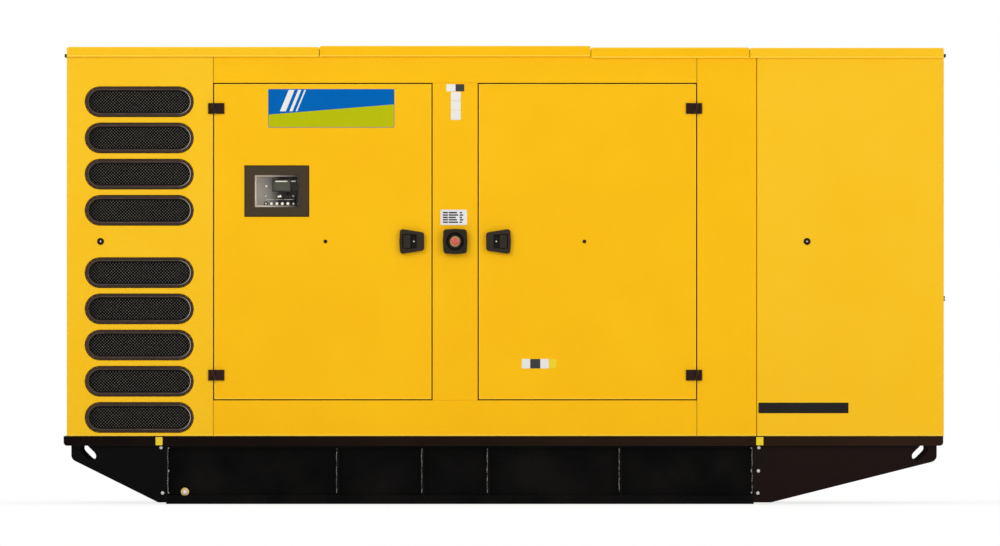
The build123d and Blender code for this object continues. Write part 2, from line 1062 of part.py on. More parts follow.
def bearers():
    """The two long bearers under the engine and the alternator."""
    half = bearer_width / 2
    bottom = bearer_top - bearer_height
    return front_and_back(
        block(bearer_start, bearer_end, -bearer_y - half, -bearer_y + half, bottom, bearer_top)
    )


def rubber_mounts():
    """The rubber mounts between the bearers and the deck."""
    mounts = []
    first = bearer_start + mount_inset
    pitch = (bearer_end - mount_inset - first) / (mounts_per_bearer - 1)
    for index in range(mounts_per_bearer):
        x = first + index * pitch
        mount = bar_z(x, -bearer_y, floor_top, floor_top + mount_height, mount_radius)
        mounts += [mount, to_back(mount)]
    return Compound(children=mounts)


def radiator():
    """The radiator: tanks and side channels round a sunk core, and the round fan shroud."""
    start = radiator_start
    end = start + radiator_thickness
    width = radiator_half_width
    inner = width - radiator_border
    bottom = floor_top + core_bottom
    top = radiator_top - core_top_margin
    body = block(start, end, -width, width, floor_top, radiator_top)
    body -= block(start, start + core_sunk, -inner, inner, bottom, top)
    body -= block(end - core_sunk, end, -inner, inner, bottom, top)
    shroud_end = start + core_sunk
    shroud = bar_x(shroud_start, shroud_end, 0, fan_level, shroud_radius + shroud_wall, drum_sides)
    shroud -= bar_x(shroud_start, shroud_end, 0, fan_level, shroud_radius, drum_sides)
    return body + shroud


def fan_blade():
    """One cambered blade, upright, set at its pitch."""
    half = blade_chord / 2
    outer = ThreePointArc((-half, 0), (0, blade_camber), (half, 0))
    inner = Pos(0, -blade_thickness) * outer
    ends = [Line(outer @ 0, inner @ 0), Line(outer @ 1, inner @ 1)]
    section = in_flat_steps(make_face([outer, inner] + ends))
    root = Plane(origin=(0, 0, blade_root)) * Rot(0, 0, blade_pitch) * section
    return extrude(root, fan_radius - blade_root)


def fan():
    """The cooling fan: a hub and its blades."""
    body = bar_x(fan_start, fan_start + fan_depth, 0, fan_level, fan_hub_radius)
    centre = Pos(fan_start + fan_depth / 2, 0, fan_level)
    blade = fan_blade()
    for number in range(fan_blades):
        body += centre * Rot(360 / fan_blades * number, 0, 0) * blade
    return body


def exhaust():
    """The exhaust pipe with segmented bends, the silencer hung from the roof and its outlet."""
    points = (
        (turbo_x, manifold_y, turbo_top),
        (turbo_x, manifold_y, exhaust_level - exhaust_bend),
        (turbo_x + exhaust_bend, manifold_y, exhaust_level),
        (silencer_x - exhaust_bend, manifold_y, exhaust_level),
        (silencer_x, manifold_y, exhaust_level - exhaust_bend),
        (silencer_x, manifold_y, silencer_level),
    )
    section = Plane(origin=points[0]) * RegularPolygon(exhaust_radius, bar_sides)
    body = sweep(section, path=Polyline(*points), transition=Transition.RIGHT)
    reach = silencer_half_length
    level = silencer_level
    body += bar_y(silencer_x, -reach, reach, level, silencer_radius, drum_sides)
    end = reach + silencer_end
    body += bar_y(silencer_x, -end, end, level, silencer_end_radius, drum_sides)
    body += bar_z(silencer_x, tail_y, level, panel_top - tail_gap, tail_radius)
    left = silencer_x - hanger_half_width
    right = silencer_x + hanger_half_width
    for y in hanger_y:
        body += block(left, right, y, y + hanger_thickness, level, panel_top)
    return body


def air_filter():
    """The intake air filter on its brackets over the rocker covers."""
    body = bar_x(filter_start, filter_end, filter_y, filter_level, filter_radius, drum_sides)
    cap_end = filter_end + filter_cap
    body += bar_x(filter_end, cap_end, filter_y, filter_level, filter_cap_radius, drum_sides)
    foot = shaft_level + block_half_height + head_height + cover_height
    for x in (filter_start + filter_bracket_inset, filter_end - filter_bracket_inset):
        thickness = filter_bracket_thickness
        body += block(x, x + thickness, filter_y - filter_bracket_width, filter_y, foot, filter_level)
    return body


def save(name, shape):
    """Write one node."""
    export_step(shape, f"parts/{name}.step")


os.makedirs("parts", exist_ok=True)

save("side_rails", side_rails())
save("end_rails", end_rails())
save("side_beam_front", side_beam())
save("side_beam_back", to_back(side_beam()))
save("wings_left", wings(-1))
save("wings_right", wings(1))
save("fuel_tank", fuel_tank())
save("floor_deck", floor_deck())
save("drain_plug", drain_plug())

save("vent_panel_front", vent_panel())
save("vent_panel_back", to_back(vent_panel()))
save("vent_grilles_front", Compound(children=vent_grilles()))
save("vent_grilles_back", Compound(children=[to_back(grille) for grille in vent_grilles()]))
save("headers", front_and_back(header()))
save("sills", front_and_back(sill()))
save("centre_post_front", centre_post_front())
save("centre_post_back", to_back(centre_post()))
save("side_panels", front_and_back(side_panel()))
save("end_panels", front_and_back(end_panel()))
save("end_wall_left", end_wall(-1))
save("end_wall_right", end_wall_right())
save("end_strips", end_strips())
save("panel_locks", panel_locks())
for number in range(len(roof_tops) - 1):
    save(f"roof_section_{number + 1}", roof_section(number))
save(f"roof_section_{len(roof_tops)}", roof_section(len(roof_tops) - 1) - outlet_hole())
save("outlet_grille", outlet_grille())

frame_leaves = [frame_leaf(z) for z in hinge_levels]
door_leaves = [door_leaf(z) for z in hinge_levels]
right_frame_leaves = [mirrored_x(leaf, bay_centre) for leaf in frame_leaves]
right_door_leaves = [mirrored_x(leaf, bay_centre) for leaf in door_leaves]
save("hinge_frame_leaves", Compound(children=frame_leaves + right_frame_leaves))

save("door_left", door_left())
save("door_left_hinges", Compound(children=door_leaves))
save("door_left_handle", handle_body())
save("door_left_paddle", paddle())
save("window_frame", window_frame())
save("window_pane", window_pane())

save("door_right", mirrored_x(door_slab(), bay_centre))
save("door_right_hinges", Compound(children=right_door_leaves))
save("door_right_handle", mirrored_x(handle_body(), bay_centre))
save("door_right_paddle", mirrored_x(paddle(), bay_centre))

save("stop_housing", stop_housing())
save("stop_ring", stop_ring())
save("stop_button", stop_button())

back_left_door = to_back(door_slab())
back_left_hinges = [to_back(back_hinge(z)) for z in hinge_levels]
back_right_hinges = [mirrored_x(hinge, bay_centre) for hinge in back_left_hinges]
back_left_handle = to_back(back_handle())
save("back_doors", Compound(children=[back_left_door, mirrored_x(back_left_door, bay_centre)]))
save("back_door_hinges", Compound(children=back_left_hinges + back_right_hinges))
save("back_door_handles", Compound(children=[back_left_handle, mirrored_x(back_left_handle, bay_centre)]))

save("control_cabinet", control_cabinet())
save("engine", engine())
save("alternator", alternator())
save("bearers", bearers())
save("rubber_mounts", rubber_mounts())
save("radiator", radiator())
save("fan", fan())
save("exhaust", exhaust())
save("air_filter", air_filter())
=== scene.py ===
import sys
import logging
import math
from collections.abc import Callable, Iterable
from dataclasses import dataclass, field
from enum import Enum

import bmesh
import bpy
from mathutils import Matrix, Vector


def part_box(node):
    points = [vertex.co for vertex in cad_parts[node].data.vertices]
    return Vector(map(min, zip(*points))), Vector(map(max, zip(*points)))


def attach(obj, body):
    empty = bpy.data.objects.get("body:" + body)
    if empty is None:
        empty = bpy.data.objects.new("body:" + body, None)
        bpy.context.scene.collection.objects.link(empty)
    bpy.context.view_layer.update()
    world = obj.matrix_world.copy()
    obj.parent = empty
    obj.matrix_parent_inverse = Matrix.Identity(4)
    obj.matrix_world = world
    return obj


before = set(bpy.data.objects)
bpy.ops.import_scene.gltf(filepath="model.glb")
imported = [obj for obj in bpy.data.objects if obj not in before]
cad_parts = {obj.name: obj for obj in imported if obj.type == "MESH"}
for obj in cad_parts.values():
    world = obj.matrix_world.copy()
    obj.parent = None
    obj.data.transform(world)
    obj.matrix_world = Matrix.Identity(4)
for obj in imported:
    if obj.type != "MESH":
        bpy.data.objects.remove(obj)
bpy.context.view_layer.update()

LOG = logging.getLogger("generating_set")

Point = tuple[float, float, float]
Colour = tuple[float, float, float]
Piece = bpy.types.Object
FaceTest = Callable[[Vector, Vector], bool]

# A face or an edge lies along an axis when the axis takes up this share of its direction.
ALONG = 0.9


class Axis(Enum):
    """The direction that a round piece points along."""

    X = (0.0, math.pi / 2, 0.0)
    Y = (math.pi / 2, 0.0, 0.0)
    Z = (0.0, 0.0, 0.0)


class Grain(Enum):
    """The fine relief of a surface."""

    PEEL = "orange peel of powder coat"
    MOULDED = "fine spark-eroded texture"
    CAST = "sand-cast skin"
    BRUSHED = "brushing along one way"
    FOAM = "open pores"


class Side(Enum):
    """A long side of the canopy, as the sign of its Y."""

    FRONT = -1
    BACK = 1


# Shader wiring


class Wiring:
    """A shader tree that is wired one node at a time."""

    def __init__(self, tree: bpy.types.NodeTree) -> None:
        """Keep the tree and empty it."""
        self.tree = tree
        tree.nodes.clear()

    def add(self, kind: str, sockets: dict | None = None, **settings: object) -> bpy.types.Node:
        """Add one node.

        Args:
            kind: the node's type name without its ShaderNode prefix.
            sockets: what goes into its inputs, by name or index: a socket is linked, a value is set.
            settings: the node's own properties.

        Returns:
            The node.
        """
        node = self.tree.nodes.new(kind if kind.startswith("Node") else "ShaderNode" + kind)
        for name, value in settings.items():
            setattr(node, name, value)
        for name, value in (sockets or {}).items():
            if isinstance(value, bpy.types.NodeSocket):
                self.tree.links.new(value, node.inputs[name])
            else:
                node.inputs[name].default_value = value
        return node

    def maths(self, operation: str, *values: object) -> bpy.types.NodeSocket:
        """Add a Math node.

        Args:
            operation: its operation.
            values: sockets or numbers, in order.

        Returns:
            Its output.
        """
        return self.add("Math", dict(enumerate(values)), operation=operation).outputs[0]

    def blend(self, factor: object, low: object, high: object, mode: str = "MIX") -> bpy.types.NodeSocket:
        """Mix two colours.

        Args:
            factor: how much of the second one.
            low: the first colour or socket.
            high: the second colour or socket.
            mode: the blend type.

        Returns:
            The mixed colour.
        """
        pair = [v if isinstance(v, bpy.types.NodeSocket) else (*v, 1.0) for v in (low, high)]
        node = self.add("Mix", {0: factor, 6: pair[0], 7: pair[1]}, data_type="RGBA", blend_type=mode)
        return node.outputs[2]

    def group(self, tree: bpy.types.NodeTree, **values: object) -> bpy.types.NodeSocket:
        """Place a node group.

        Args:
            tree: the group.
            values: its inputs, with underscores for spaces.

        Returns:
            Its first output.
        """
        node = self.tree.nodes.new("ShaderNodeGroup")
        node.node_tree = tree
        for name, value in values.items():
            socket = node.inputs[name.replace("_", " ")]
            if isinstance(value, bpy.types.NodeSocket):
                self.tree.links.new(value, socket)
            else:
                socket.default_value = value
        return node.outputs[0]


def new_group(name: str, inputs: dict[str, float], output: str) -> tuple[Wiring, bpy.types.Node,
                                                                         bpy.types.Node]:
    """Start a shader node group.

    Args:
        name: its name.
        inputs: its inputs and their first values.
        output: its output.

    Returns:
        The wiring, the input node and the output node.
    """
    tree = bpy.data.node_groups.new(name, "ShaderNodeTree")
    for label, value in inputs.items():
        tree.interface.new_socket(label, in_out="INPUT", socket_type="NodeSocketFloat").default_value = value
    tree.interface.new_socket(output, in_out="OUTPUT", socket_type="NodeSocketFloat")
    wiring = Wiring(tree)
    return wiring, wiring.add("NodeGroupInput"), wiring.add("NodeGroupOutput")


@dataclass
class Effects:
    """The effects that many finishes share, each a node group."""

    mottle: bpy.types.NodeTree = field(init=False)
    grains: dict[Grain, bpy.types.NodeTree] = field(init=False)
    wear_and_highlight: bpy.types.NodeTree = field(init=False)
    dust: bpy.types.NodeTree = field(init=False)

    def __post_init__(self) -> None:
        """Build every group."""
        self.mottle = self.build_mottle()
        self.grains = {grain: self.build_grain(grain) for grain in Grain}
        self.wear_and_highlight = self.build_wear_and_highlight()
        self.dust = self.build_dust()

    def build_mottle(self) -> bpy.types.NodeTree:
        """Make slow drifts of a value over the surface.

        Returns:
            The group, which puts out a value between Low and High.
        """
        wiring, start, end = new_group("Mottle", {"Scale": 3.0, "Low": 0.0, "High": 1.0}, "Value")
        place = wiring.add("TexCoord").outputs["Object"]
        noise = wiring.add("TexNoise", {"Vector": place, "Scale": start.outputs["Scale"], "Detail": 3.0})
        spread = wiring.add("MapRange", {0: noise.outputs[0], 1: 0.3, 2: 0.7,
                                         3: start.outputs["Low"], 4: start.outputs["High"]})
        wiring.tree.links.new(spread.outputs[0], end.inputs[0])
        return wiring.tree

    def build_grain(self, grain: Grain) -> bpy.types.NodeTree:
        """Make the height of one kind of fine relief.

        Args:
            grain: which kind.

        Returns:
            The group, which puts out a height of 0 to 1.
        """
        wiring, start, end = new_group("Grain " + grain.name.lower(), {"Scale": 400.0}, "Height")
        place = wiring.add("TexCoord").outputs["Object"]
        scale = start.outputs["Scale"]
        if grain is Grain.BRUSHED:
            place = wiring.add("Mapping", {"Vector": place, "Scale": (0.04, 1.0, 1.0)}).outputs[0]
        noise = wiring.add("TexNoise", {"Vector": place, "Scale": scale, "Detail": 2.0}).outputs[0]
        if grain in (Grain.FOAM, Grain.CAST):
            pores = wiring.add("TexVoronoi", {"Vector": place, "Scale": scale}).outputs["Distance"]
            noise = wiring.maths("MULTIPLY", noise,
                                 wiring.maths("MINIMUM", wiring.maths("MULTIPLY", pores, 1.8), 1.0))
        wiring.tree.links.new(noise, end.inputs[0])
        return wiring.tree

    def build_wear_and_highlight(self) -> bpy.types.NodeTree:
        """Find the edges of a piece, broken up as wear is; the colour laid on them is partly wear and partly
        painted highlight on the rounded edges.

        Returns:
            The group, which puts out a mask.
        """
        wiring, start, end = new_group("Worn and highlit edges", {"Radius": 0.003, "Scale": 60.0}, "Mask")
        place = wiring.add("TexCoord").outputs["Object"]
        round_edge = wiring.add("Bevel", {"Radius": start.outputs["Radius"]}, samples=4).outputs[0]
        flat = wiring.add("NewGeometry").outputs["Normal"]
        likeness = wiring.add("VectorMath", {0: round_edge, 1: flat},
                              operation="DOT_PRODUCT").outputs["Value"]
        edge = wiring.maths("MULTIPLY", wiring.maths("SUBTRACT", 1.0, likeness), 4.0)
        noise = wiring.add("TexNoise",
                           {"Vector": place, "Scale": start.outputs["Scale"], "Detail": 4.0}).outputs[0]
        mask = wiring.maths("MULTIPLY", edge, noise)
        clamped = wiring.add("Clamp", {0: mask}).outputs[0]
        wiring.tree.links.new(clamped, end.inputs[0])
        return wiring.tree

    def build_dust(self) -> bpy.types.NodeTree:
        """Find where dust settles: on what faces up, in patches.

        Returns:
            The group, which puts out a mask.
        """
        wiring, start, end = new_group("Settled dust", {"Amount": 0.3, "Scale": 9.0}, "Mask")
        place = wiring.add("TexCoord").outputs["Object"]
        normal = wiring.add("NewGeometry").outputs["Normal"]
        up = wiring.add("SeparateXYZ", {0: normal}).outputs["Z"]
        facing = wiring.add("MapRange", {0: up, 1: 0.2, 2: 1.0}).outputs[0]
        noise = wiring.add("TexNoise",
                           {"Vector": place, "Scale": start.outputs["Scale"], "Detail": 5.0}).outputs[0]
        patchy = wiring.maths("MULTIPLY", facing, noise)
        wiring.tree.links.new(wiring.maths("MULTIPLY", patchy, start.outputs["Amount"]), end.inputs[0])
        return wiring.tree


EFFECTS = Effects()
DUST_COLOUR: Colour = (0.42, 0.38, 0.31)


def srgb(red: int, green: int, blue: int) -> Colour:
    """Turn a display colour into a linear one.

    Args:
        red: 0 to 255.
        green: 0 to 255.
        blue: 0 to 255.

    Returns:
        The linear colour.
    """
    parts = [value / 255 for value in (red, green, blue)]
    return tuple(p / 12.92 if p <= 0.04045 else ((p + 0.055) / 1.055) ** 2.4 for p in parts)


@dataclass(frozen=True)
class Finish:
    """A finish with drifting colour and gloss, fine relief, rounded edges coloured partly as wear and partly
    as painted highlight, and settled dust.
    """

    name: str
    colour: Colour
    drift: Colour
    rough: tuple[float, float] = (0.3, 0.4)
    grain: Grain = Grain.PEEL
    grain_scale: float = 350.0
    grain_depth: float = 0.00006
    drift_scale: float = 2.5
    metallic: float = 0.0
    coat: float = 0.0
    specular: float = 0.5
    sheen: float = 0.0
    edge_radius: float = 0.0015
    edge_colour: Colour | None = None
    edge_amount: float = 0.0
    dust: float = 0.0

    def surface(self, wiring: Wiring) -> bpy.types.NodeSocket:
        """Wire the colour.

        Args:
            wiring: the material's tree.

        Returns:
            The colour's socket.
        """
        drift = wiring.group(EFFECTS.mottle, Scale=self.drift_scale, Low=0.0, High=1.0)
        return self.aged_and_highlit(wiring, wiring.blend(drift, self.colour, self.drift))

    def aged_and_highlit(self, wiring: Wiring, colour: bpy.types.NodeSocket) -> bpy.types.NodeSocket:
        """Wire the edge colour, partly wear and partly painted highlight, and the dust over a colour.

        Args:
            wiring: the material's tree.
            colour: the colour's socket.

        Returns:
            The aged colour's socket.
        """
        if self.edge_colour:
            # Edge colour: wear, and painted highlight where it is lighter than the finish.
            wear_and_highlight = wiring.group(EFFECTS.wear_and_highlight, Radius=self.edge_radius * 1.6, Scale=60.0)
            colour = wiring.blend(wiring.maths("MULTIPLY", wear_and_highlight, self.edge_amount), colour, self.edge_colour)
        if self.dust:
            colour = wiring.blend(wiring.group(EFFECTS.dust, Amount=self.dust), colour, DUST_COLOUR)
        return colour

    def relief(self, wiring: Wiring) -> bpy.types.NodeSocket:
        """Wire the rounded edges and the fine relief.

        Args:
            wiring: the material's tree.

        Returns:
            The normal's socket.
        """
        rounded = wiring.add("Bevel", {"Radius": self.edge_radius}, samples=4).outputs[0]
        height = wiring.group(EFFECTS.grains[self.grain], Scale=self.grain_scale)
        bump = wiring.add("Bump", {"Strength": 1.0, "Distance": self.grain_depth,
                                   "Height": height, "Normal": rounded})
        return bump.outputs[0]

    def build(self) -> bpy.types.Material:
        """Make the material.

        Returns:
            The material, made once.
        """
        if self.name in bpy.data.materials:
            return bpy.data.materials[self.name]
        material = bpy.data.materials.new(self.name)
        material.use_nodes = True
        material.diffuse_color = (*self.colour, 1.0)
        wiring = Wiring(material.node_tree)
        shader = wiring.add("BsdfPrincipled", {
            "Base Color": self.surface(wiring),
            "Roughness": wiring.group(EFFECTS.mottle, Scale=self.drift_scale * 4, Low=self.rough[0],
                                      High=self.rough[1]),
            "Metallic": self.metallic,
            "Coat Weight": self.coat,
            "Specular IOR Level": self.specular,
            "Sheen Weight": self.sheen,
            "Normal": self.relief(wiring),
        })
        self.extra(wiring, shader)
        end = wiring.add("OutputMaterial")
        wiring.tree.links.new(shader.outputs[0], end.inputs[0])
        return material

    def extra(self, wiring: Wiring, shader: bpy.types.Node) -> None:
        """Leave the shader as it is."""


@dataclass(frozen=True)
class FilmFinish(Finish):
    """A thin printed film."""

    rough: tuple[float, float] = (0.25, 0.32)
    grain_scale: float = 120.0
    grain_depth: float = 0.00003
    specular: float = 0.25
    edge_radius: float = 0.0003


@dataclass(frozen=True)
class ClearFinish(Finish):
    """A clear pane with a little grey in it."""

    transmission: float = 1.0

    def extra(self, wiring: Wiring, shader: bpy.types.Node) -> None:
        """Let light through.

        Args:
            wiring: the material's tree, not used.
            shader: its Principled BSDF.
        """
        shader.inputs["Transmission Weight"].default_value = self.transmission
        shader.inputs["IOR"].default_value = 1.15


@dataclass(frozen=True)
class GradedFinish(Finish):
    """A face shaded from one colour to the other along the set, as painted light and shade."""

    start_x: float = -1.28
    end_x: float = -1.12

    def surface(self, wiring: Wiring) -> bpy.types.NodeSocket:
        """Wire the graded colour.

        Args:
            wiring: the material's tree.

        Returns:
            The colour's socket.
        """
        place = wiring.add("TexCoord").outputs["Object"]
        along = wiring.add("SeparateXYZ", {0: place}).outputs["X"]
        share = wiring.add("MapRange", {0: along, 1: self.start_x, 2: self.end_x}).outputs[0]
        drift = wiring.group(EFFECTS.mottle, Scale=self.drift_scale, Low=-0.12, High=0.12)
        share = wiring.add("Clamp", {0: wiring.maths("ADD", share, drift)}).outputs[0]
        return self.aged_and_highlit(wiring, wiring.blend(share, self.colour, self.drift))


@dataclass(frozen=True)
class LitFinish(Finish):
    """A small lamp or lit screen; on the buttons and the printed mark its glow is painted light."""

    glow: float = 0.6

    def extra(self, wiring: Wiring, shader: bpy.types.Node) -> None:
        """Make it shine a little.

        Args:
            wiring: the material's tree.
            shader: its Principled BSDF.
        """
        shader.inputs["Emission Strength"].default_value = self.glow
        colour = wiring.blend(wiring.group(EFFECTS.mottle, Scale=80.0, Low=0.0, High=1.0), self.colour,
                              self.drift)
        wiring.tree.links.new(colour, shader.inputs["Emission Color"])


YELLOW = Finish("yellow powder coat", srgb(247, 186, 2), srgb(249, 191, 5), (0.46, 0.56), grain_depth=0.00005,
                specular=0.13, edge_radius=0.0025, edge_colour=srgb(255, 222, 70), edge_amount=0.5,
                dust=0.05)
# The end modules are a little lighter than the rest: painted light.
YELLOW_ENDS_LIT = Finish("yellow powder coat, end modules", srgb(246, 191, 14), srgb(246, 194, 26), (0.46, 0.56),
                      grain_depth=0.00006, specular=0.16, edge_radius=0.0025,
                      edge_colour=srgb(255, 222, 70), edge_amount=0.5, dust=0.05)
SKID = Finish("gloss black skid paint", (0.0002, 0.0002, 0.0002), (0.0052, 0.0044, 0.004), (0.22, 0.4),
              grain_depth=0.00008, grain_scale=160.0, specular=0.04, edge_radius=0.003,
              drift_scale=4.0, edge_colour=(0.045, 0.042, 0.04), edge_amount=0.25, dust=0.02)
# Darker at the left end, lighter brown towards the right: painted light along the set.
SKID_WING_LIT_RIGHT = GradedFinish("gloss black wing paint", (0.0012, 0.0011, 0.0011), (0.0105, 0.005, 0.004),
                         (0.25, 0.4), grain_depth=0.00008, grain_scale=160.0, drift_scale=1.4,
                         specular=0.05, edge_radius=0.003, edge_colour=(0.05, 0.045, 0.042),
                         edge_amount=0.25, dust=0.02, start_x=-1.6, end_x=1.6)
# Darker at the left end, lighter brown towards the right: painted light along the set.
RAIL_LIT_RIGHT = GradedFinish("black rail paint", (0.0035, 0.0016, 0.0012), (0.024, 0.0112, 0.0058), (0.3, 0.45),
                    grain_depth=0.00008, grain_scale=160.0, specular=0.04, edge_radius=0.003,
                    edge_colour=(0.08, 0.05, 0.035), edge_amount=0.45, dust=0.03, start_x=-1.9, end_x=2.1)
MOULDED = Finish("moulded dark plastic", srgb(48, 40, 32), srgb(40, 33, 26), (0.36, 0.48), Grain.MOULDED,
                 1500.0, 0.00002, specular=0.13, edge_radius=0.002, edge_colour=srgb(104, 96, 92),
                 edge_amount=0.35)
MOULDED_DARK = Finish("moulded near-black plastic", srgb(36, 31, 23), srgb(28, 24, 18), (0.34, 0.46),
                      Grain.MOULDED, 1500.0, 0.00002, specular=0.13, edge_radius=0.002,
                      edge_colour=srgb(120, 114, 104), edge_amount=0.5)
FRAME_BROWN = Finish("moulded dark brown frame", srgb(67, 57, 40), srgb(60, 50, 35), (0.36, 0.48),
                     Grain.MOULDED, 1500.0, 0.00002, specular=0.12, edge_radius=0.0015,
                     edge_colour=srgb(104, 92, 74), edge_amount=0.3)
BEZEL = Finish("moulded inlet bezel", srgb(60, 44, 34), srgb(46, 34, 27), (0.34, 0.46), Grain.MOULDED, 1500.0,
               0.00002, specular=0.13, edge_radius=0.002, edge_colour=srgb(128, 120, 112), edge_amount=0.5)
# Painted highlight at the right end of each bezel's inner edge.
BEZEL_EDGE_HIGHLIGHT = GradedFinish("moulded bezel, inner edge", srgb(84, 70, 64), srgb(196, 190, 182), (0.3, 0.4),
                          Grain.MOULDED, 1500.0, 0.00002, drift_scale=9.0, specular=0.2, start_x=-1.668,
                          end_x=-1.612)
# Also the painted shadow line round each inlet bezel.
GASKET_AND_SHADOW_LINE = Finish("dark gasket", srgb(38, 12, 4), srgb(26, 8, 3), (0.6, 0.75), Grain.MOULDED, 900.0, 0.00004,
                specular=0.08)
# Amber-brown paints the light that falls into the door gaps.
SEAL_GAP_LIGHT = Finish("brown door seal", srgb(140, 74, 8), srgb(116, 58, 6), (0.6, 0.75), Grain.MOULDED,
                    900.0, 0.00004, specular=0.1)
HINGE_BLACK = Finish("cast hinge, black", srgb(42, 18, 14), srgb(28, 11, 8), (0.3, 0.42), Grain.CAST, 700.0,
                     0.00003, specular=0.12, edge_radius=0.0015, edge_colour=srgb(84, 62, 54),
                     edge_amount=0.4)
MESH_BLACK = Finish("moulded inlet mesh", srgb(52, 50, 46), srgb(44, 42, 39), (0.3, 0.42), Grain.MOULDED,
                    1800.0, 0.00002, specular=0.1, edge_radius=0.0004)
# Knots lighter than the mesh paint their highlight; darker at the left end, painted shade.
MESH_KNOT_HIGHLIGHT = GradedFinish("moulded mesh knots", srgb(84, 80, 72), srgb(140, 137, 128), (0.3, 0.42),
                         Grain.MOULDED, 1800.0, 0.00002, drift_scale=9.0, specular=0.15, start_x=-2.125,
                         end_x=-2.060)
SEAL = Finish("black seal rubber", (0.008, 0.008, 0.008), (0.014, 0.013, 0.012), (0.6, 0.75), Grain.MOULDED,
              900.0, 0.00004, specular=0.3)
FIXING = Finish("dark fixing", srgb(36, 14, 8), srgb(24, 8, 4), (0.35, 0.5), Grain.CAST, 900.0, 0.00002,
                specular=0.12, edge_radius=0.0008, edge_colour=srgb(110, 84, 66), edge_amount=0.35)
DARK_STEEL = Finish("black steel, satin", (0.012, 0.012, 0.012), (0.022, 0.02, 0.019), (0.4, 0.55),
                    Grain.PEEL, 300.0, 0.00006, specular=0.4, edge_radius=0.0012,
                    edge_colour=(0.14, 0.13, 0.12), edge_amount=0.35, dust=0.12)
BRASS = Finish("turned brass", (0.72, 0.5, 0.2), (0.6, 0.4, 0.15), (0.22, 0.34), Grain.BRUSHED, 900.0,
               0.00003, metallic=1.0, edge_radius=0.001)
GOLD = Finish("pale gold ring", srgb(236, 196, 112), srgb(222, 178, 92), (0.3, 0.42), Grain.MOULDED, 900.0,
              0.00002, specular=0.5, edge_radius=0.0008)
RED = Finish("salmon red plastic", srgb(214, 78, 70), srgb(204, 66, 60), (0.32, 0.42), Grain.MOULDED, 1200.0,
             0.00002, coat=0.2, edge_radius=0.002, edge_colour=srgb(236, 130, 118), edge_amount=0.4)
CABINET = Finish("light grey cabinet paint", (0.36, 0.37, 0.37), (0.32, 0.33, 0.33), (0.35, 0.45), Grain.PEEL,
                 420.0, 0.00008, edge_radius=0.0015, edge_colour=(0.6, 0.6, 0.6), edge_amount=0.3, dust=0.1)
ENGINE = Finish("engine enamel", (0.085, 0.1, 0.11), (0.06, 0.072, 0.08), (0.35, 0.5), Grain.CAST, 260.0,
                0.0003, edge_radius=0.004, edge_colour=(0.26, 0.27, 0.27), edge_amount=0.4, dust=0.15)
ALTERNATOR = Finish("machine enamel", (0.1, 0.115, 0.13), (0.075, 0.088, 0.1), (0.35, 0.5), Grain.CAST, 320.0,
                    0.0002, edge_radius=0.003, edge_colour=(0.3, 0.31, 0.32), edge_amount=0.4, dust=0.15)
RUBBER = Finish("mount rubber", (0.012, 0.012, 0.012), (0.02, 0.019, 0.018), (0.65, 0.8), Grain.MOULDED,
                700.0, 0.00008, specular=0.3, dust=0.15)
FAN = Finish("glass-filled fan plastic", (0.016, 0.016, 0.017), (0.025, 0.024, 0.023), (0.4, 0.55),
             Grain.MOULDED, 900.0, 0.00005, edge_radius=0.0015, dust=0.12)
EXHAUST = Finish("heat-tinted steel", (0.36, 0.33, 0.3), (0.3, 0.22, 0.15), (0.3, 0.5), Grain.BRUSHED, 500.0,
                 0.00008, drift_scale=6.0, metallic=1.0, edge_radius=0.002, dust=0.1)
PANE = ClearFinish("clear window pane", (0.95, 0.95, 0.94), (0.92, 0.92, 0.91), (0.02, 0.05), Grain.PEEL,
                   60.0, 0.00001, edge_radius=0.001)
STEEL = Finish("zinc-plated steel", (0.62, 0.6, 0.55), (0.5, 0.49, 0.46), (0.25, 0.4), Grain.BRUSHED, 1200.0,
               0.00002, metallic=1.0, edge_radius=0.0008)

FOAM = Finish("black open foam", (0.0015, 0.0015, 0.0015), (0.004, 0.004, 0.004), (0.8, 0.95), Grain.FOAM,
              420.0, 0.0012, specular=0.03)
# Face and trim lit at the left and shaded to the right: painted light and reflection.
CONTROL_FACE_LIT_LEFT = GradedFinish("graded control face", srgb(178, 175, 172), srgb(8, 6, 2), (0.2, 0.3),
                            Grain.BRUSHED, 800.0, 0.00002, drift_scale=5.0, specular=0.1,
                            edge_radius=0.0008, start_x=-1.280, end_x=-1.150)
CONTROL_TRIM_LIT_LEFT = GradedFinish("graded control trim", srgb(255, 252, 248), srgb(36, 31, 24), (0.2, 0.3),
                            Grain.BRUSHED, 800.0, 0.00002, drift_scale=9.0, specular=0.4,
                            edge_radius=0.0008, end_x=-1.06)
SCREEN = LitFinish("screen", srgb(78, 78, 60), srgb(52, 52, 38), (0.12, 0.18), Grain.MOULDED, 600.0, 0.00001,
                   glow=0.25)
# Also the painted glow of the buttons and the printed mark.
LAMP_WHITE_AND_GLOW = LitFinish("white lamp and painted glow", srgb(240, 238, 230), srgb(226, 222, 210), (0.25, 0.3), Grain.MOULDED,
                       900.0, 0.00001, glow=0.35)
PRINT_GREY = Finish("pale print", srgb(206, 204, 196), srgb(180, 178, 170), (0.4, 0.5), Grain.MOULDED, 900.0,
                    0.00001)
LABEL_WHITE = FilmFinish("white label film", srgb(236, 236, 232), srgb(226, 227, 224))
LABEL_GREY = FilmFinish("dark grey label film", srgb(58, 60, 62), srgb(44, 46, 48))
LABEL_YELLOW = FilmFinish("yellow label film", srgb(240, 216, 40), srgb(232, 204, 30))
LABEL_BLACK = FilmFinish("black label film", srgb(18, 17, 15), srgb(26, 24, 20), specular=0.15)
PANEL_BLUE = FilmFinish("blue panel film", srgb(0, 94, 174), srgb(0, 100, 180), specular=0.04)
PANEL_GREEN = FilmFinish("green panel film", srgb(180, 184, 6), srgb(184, 190, 10), specular=0.06)
